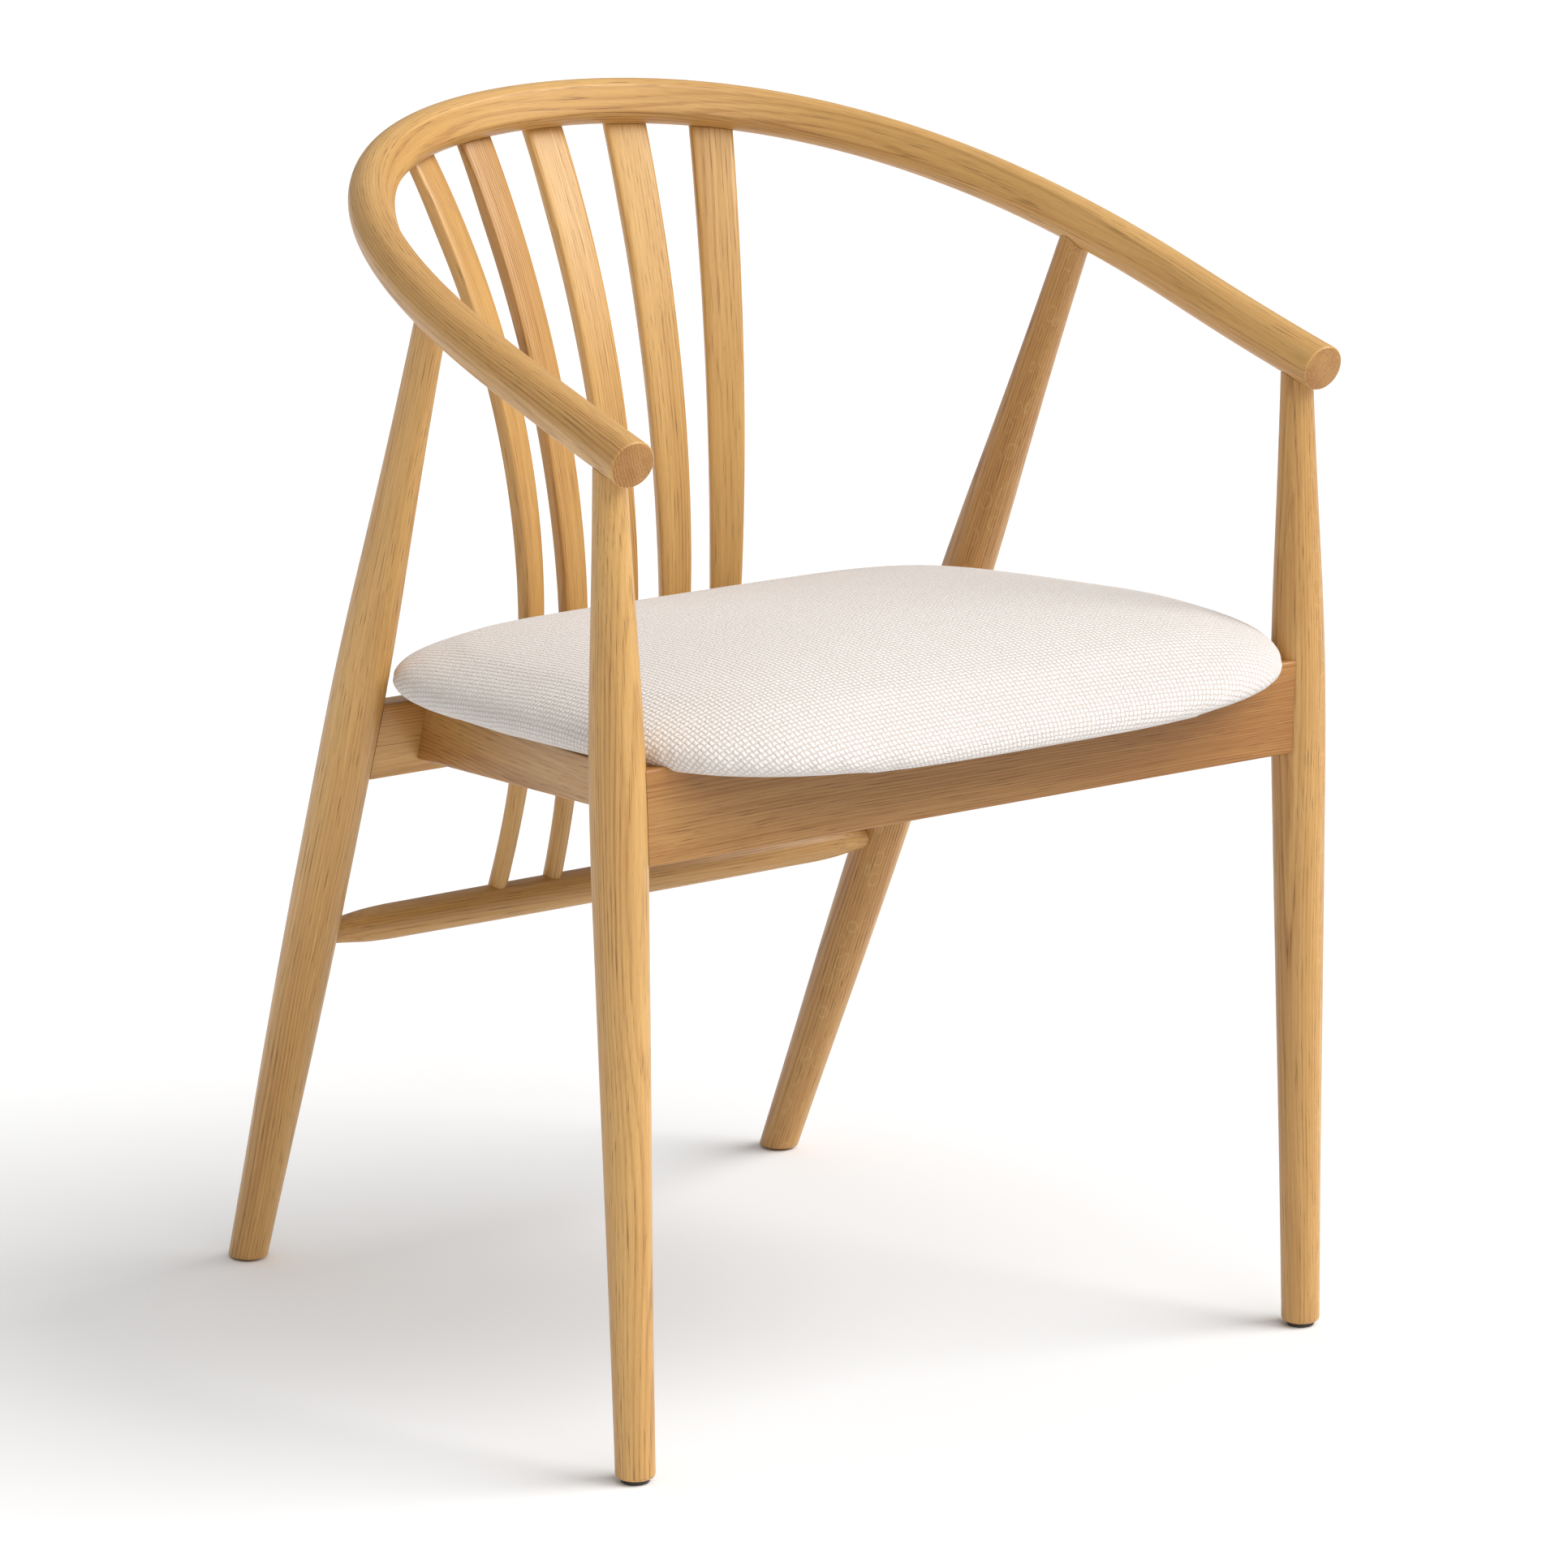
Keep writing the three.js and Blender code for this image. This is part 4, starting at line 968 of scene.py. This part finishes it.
def seat_to_chair(points):
    """From the seat's own frame, on the sloping top of the rails, to the chair's."""
    c, s = math.cos(SEAT_PITCH), math.sin(SEAT_PITCH)
    x, y, z = points[..., 0], points[..., 1] - SEAT_FRONT_Y, points[..., 2]
    return np.stack([x, y * c + z * s + SEAT_FRONT_Y, -y * s + z * c + SEAT_HEIGHT], -1)


def chair_to_seat(points):
    c, s = math.cos(SEAT_PITCH), math.sin(SEAT_PITCH)
    x, y, z = points[..., 0], points[..., 1] - SEAT_FRONT_Y, points[..., 2] - SEAT_HEIGHT
    return np.stack([x, y * c - z * s + SEAT_FRONT_Y, y * s + z * c], -1)


def height_over_rim(points):
    """How high points, in row-frame metres, lie over the pad's rim, in millimetres."""
    local = chair_to_seat(unplace(points))
    return local[:, 2] - pad_rim(local[:, 0], local[:, 1])


def pad_rings():
    """The pad's skin in the seat's frame before it swells: wider and lower than the fitted pad."""
    outline = pad_outline(np.arange(180) * 2 * math.pi / 180)
    outline = outline * (1 + PAD_SPREAD / np.linalg.norm(outline, axis=1, keepdims=True))
    rings = []
    under = [(share, 0.0) for share in (0.25, 0.5, 0.75, 0.9)]
    for share, height in [*under, *pad_curve()[:-1]]:
        xy = outline * share + [0, PAD_WIDEST_Y]
        # underneath, the rim's height is read further out
        read = xy if height else xy / share * max(share, PAD_RIM_SHARE)
        sink = PAD_SINK * smoothstep(0, PAD_SIDE, height)
        rings.append(np.column_stack([xy, pad_rim(*read.T) + height - sink]))
    return np.array(rings)


def weave_places(points):
    """Where points of the pad's skin lie on the flat cloth: along each line from the middle of
    the top, the distance is measured over the skin."""
    local = chair_to_seat(points)
    centre = np.array([0, PAD_WIDEST_Y])
    offset = local[:, :2] - centre
    radius = np.linalg.norm(offset, axis=1)
    dense = pad_outline(np.linspace(-math.pi, math.pi, 2881)[:-1])
    dense_angle = np.arctan2(dense[:, 1], dense[:, 0])
    order = np.argsort(dense_angle)
    angle = np.arctan2(offset[:, 1], offset[:, 0])
    dense_reach = np.linalg.norm(dense, axis=1)
    reach = np.interp(angle, dense_angle[order], dense_reach[order], period=2 * math.pi)
    way = offset / np.maximum(radius, 1e-6)[:, None]
    distance = np.zeros(len(points))
    best = np.full(len(points), np.inf)
    walked = np.zeros(len(points))
    before = None
    for share, height in pad_curve(90)[::-1]:
        r = share * reach
        xy = centre + way * r[:, None]
        z = pad_rim(xy[:, 0], xy[:, 1]) + height
        if before is not None:
            run, rise = r - before[0], z - before[1]
            length = np.hypot(run, rise)
            t = ((radius - before[0]) * run + (local[:, 2] - before[1]) * rise) / length**2
            t = np.clip(t, 0, 1)
            miss = np.hypot(before[0] + run * t - radius, before[1] + rise * t - local[:, 2])
            nearer = miss < best
            best = np.where(nearer, miss, best)
            distance = np.where(nearer, walked + length * t, distance)
            walked = walked + length
        before = (r, z)
    flat = way * distance[:, None]
    return np.column_stack([flat, np.zeros(len(points))])


def smoothed(piece, values, rounds):
    """Averages values, one row a vertex, with those of the neighbouring vertices."""
    edges = np.empty(len(piece.data.edges) * 2, int)
    piece.data.edges.foreach_get("vertices", edges)
    a, b = edges.reshape(-1, 2).T
    count = np.bincount(edges, minlength=len(values))[:, None]
    for _ in range(rounds):
        total = np.zeros_like(values)
        for k in range(values.shape[1]):
            total[:, k] = np.bincount(a, values[b, k], len(values))
            total[:, k] += np.bincount(b, values[a, k], len(values))
        values = (values + total) / (count + 1)
    return values


def vertices(piece):
    flat = np.empty(len(piece.data.vertices) * 3)
    piece.data.vertices.foreach_get("co", flat)
    return flat.reshape(-1, 3)


def swell(piece):
    """Blows the pad up as cloth, held where it rests on the frame, and keeps a smoothed and capped
    share of the result."""
    scene = bpy.context.scene
    frames = 20
    start = smoothed(piece, vertices(piece), 3)
    piece.data.vertices.foreach_set("co", start.ravel())
    held = piece.vertex_groups.new(name="held")
    weights = 1 - smoothstep(*PAD_HELD, height_over_rim(start))
    for i in np.flatnonzero(weights > 0.01):
        held.add([int(i)], float(weights[i]), "REPLACE")
    cloth = piece.modifiers.new("swell", "CLOTH")
    cloth.settings.use_pressure = True
    cloth.settings.uniform_pressure_force = 4
    cloth.settings.vertex_group_mass = "held"
    cloth.settings.effector_weights.gravity = 0
    cloth.settings.quality = 5
    cloth.settings.tension_stiffness = 60
    cloth.settings.compression_stiffness = 60
    cloth.settings.bending_stiffness = 12
    cloth.point_cache.frame_start, cloth.point_cache.frame_end = 1, frames
    for number in range(1, frames + 1):
        scene.frame_set(number)
    moved = vertices(piece.evaluated_get(bpy.context.evaluated_depsgraph_get()))
    shift = smoothed(piece, moved - start, 60)
    length = np.linalg.norm(shift, axis=1, keepdims=True)
    capped = shift * np.minimum(1, PAD_CAP * MM / np.maximum(length, 1e-9))
    piece.modifiers.remove(cloth)
    piece.vertex_groups.clear()
    scene.frame_set(1)
    piece.data.vertices.foreach_set("co", (start + capped).ravel())
    piece.data.update()


def applied(piece, add):
    """Applies a modifier made by add(piece)."""
    modifier = add(piece)
    shaped = piece.evaluated_get(bpy.context.evaluated_depsgraph_get())
    mesh = bpy.data.meshes.new_from_object(shaped)
    piece.modifiers.remove(modifier)
    old, piece.data = piece.data, mesh
    bpy.data.meshes.remove(old)


def remesh(piece):
    modifier = piece.modifiers.new("remesh", "REMESH")
    modifier.mode = "VOXEL"
    modifier.voxel_size = PAD_VOXEL * MM
    modifier.use_smooth_shade = True
    return modifier


def refine(piece):
    modifier = piece.modifiers.new("refine", "SUBSURF")
    modifier.levels = modifier.render_levels = 1
    return modifier


def build_cushion():
    rings = seat_to_chair(pad_rings())
    count, sides, _ = rings.shape
    piece = add_mesh("seat_cushion", rings.reshape(-1, 3), closed_faces(count, sides), CREAM)
    applied(piece, remesh)
    swell(piece)
    applied(piece, refine)
    points = vertices(piece)
    paint(piece.data, "weave", weave_places(unplace(points)) * MM)
    # painted contact shadow: the black lining runs round the whole lower edge, also where there is only
    # shade
    paint(piece.data, "lining", 1 - smoothstep(*PAD_LINING_AND_SHADOW, height_over_rim(points)))
    if not piece.data.materials:
        piece.data.materials.append(CREAM)
    piece.data.shade_smooth()
    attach(piece, "root")
    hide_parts("seat_cover", "seat_foam")


build_cushion()

# ---------------------------------------------------------------- pieces taken over from the CAD

CARRIED = [
    ("_screw_", "zinc_screw"),
    ("_dowel_", "beech"),
    ("_corner_block_", "beech"),
    ("_glide_", "nylon_glide"),
    ("seat_board", "plywood"),
    ("dust_cover", "black_lining"),
]
for name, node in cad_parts.items():
    for part_of_name, slot in CARRIED:
        if part_of_name in name:
            node.data.materials.clear()
            node.data.materials.append(HIDDEN[slot])

# ---------------------------------------------------------------- stage, light and camera

FLOOR = 30  # metres from the middle to each side
floor_mesh = bpy.data.meshes.new("floor")
floor_corners = [(-FLOOR, -FLOOR, 0), (FLOOR, -FLOOR, 0), (FLOOR, FLOOR, 0), (-FLOOR, FLOOR, 0)]
floor_mesh.from_pydata(floor_corners, [], [(0, 1, 2, 3)])
floor_mesh.materials.append(pale_floor())
floor = bpy.data.objects.new("floor", floor_mesh)
bpy.context.scene.collection.objects.link(floor)

world = bpy.data.worlds.new("studio")
world.use_nodes = True
sky = world.node_tree.nodes
where = sky.new("ShaderNodeTexCoord")
apart = sky.new("ShaderNodeSeparateXYZ")
brighter = sky.new("ShaderNodeMapRange")  # a ceiling brighter than the walls
brighter.inputs["From Max"].default_value = 0.8
brighter.inputs["To Min"].default_value = 0.24
brighter.inputs["To Max"].default_value = 0.55
world.node_tree.links.new(where.outputs["Generated"], apart.inputs[0])
world.node_tree.links.new(apart.outputs["Z"], brighter.inputs["Value"])
world.node_tree.links.new(brighter.outputs[0], sky["Background"].inputs["Strength"])
sky["Background"].inputs["Color"].default_value = (1, 1, 1, 1)
bpy.context.scene.world = world


def sun(name, direction, strength, angle):
    """A soft light from far away; direction points from the chair to the light."""
    data = bpy.data.lights.new(name, "SUN")
    data.energy = strength
    data.angle = math.radians(angle)
    lamp = bpy.data.objects.new(name, data)
    lamp.rotation_euler = Vector(direction).to_track_quat("Z", "Y").to_euler()
    bpy.context.scene.collection.objects.link(lamp)


sun("key", (0.6, -0.5, 0.7), 2.2, 42)
sun("front", (0.0, -0.68, 0.73), 1.0, 50)

# lens, place and turn were fitted to the photo
camera_data = bpy.data.cameras.new("camera")
camera_data.sensor_width = 36
camera_data.lens = 165.94
camera_data.clip_end = 100
camera = bpy.data.objects.new("camera", camera_data)
camera.location = (-2.6215, -3.6804, 1.4775)
camera.rotation_euler = (math.radians(90 - 13.98), 0, math.radians(-35.645))
bpy.context.scene.collection.objects.link(camera)
bpy.context.scene.camera = camera
bpy.context.scene.view_settings.view_transform = "Standard"
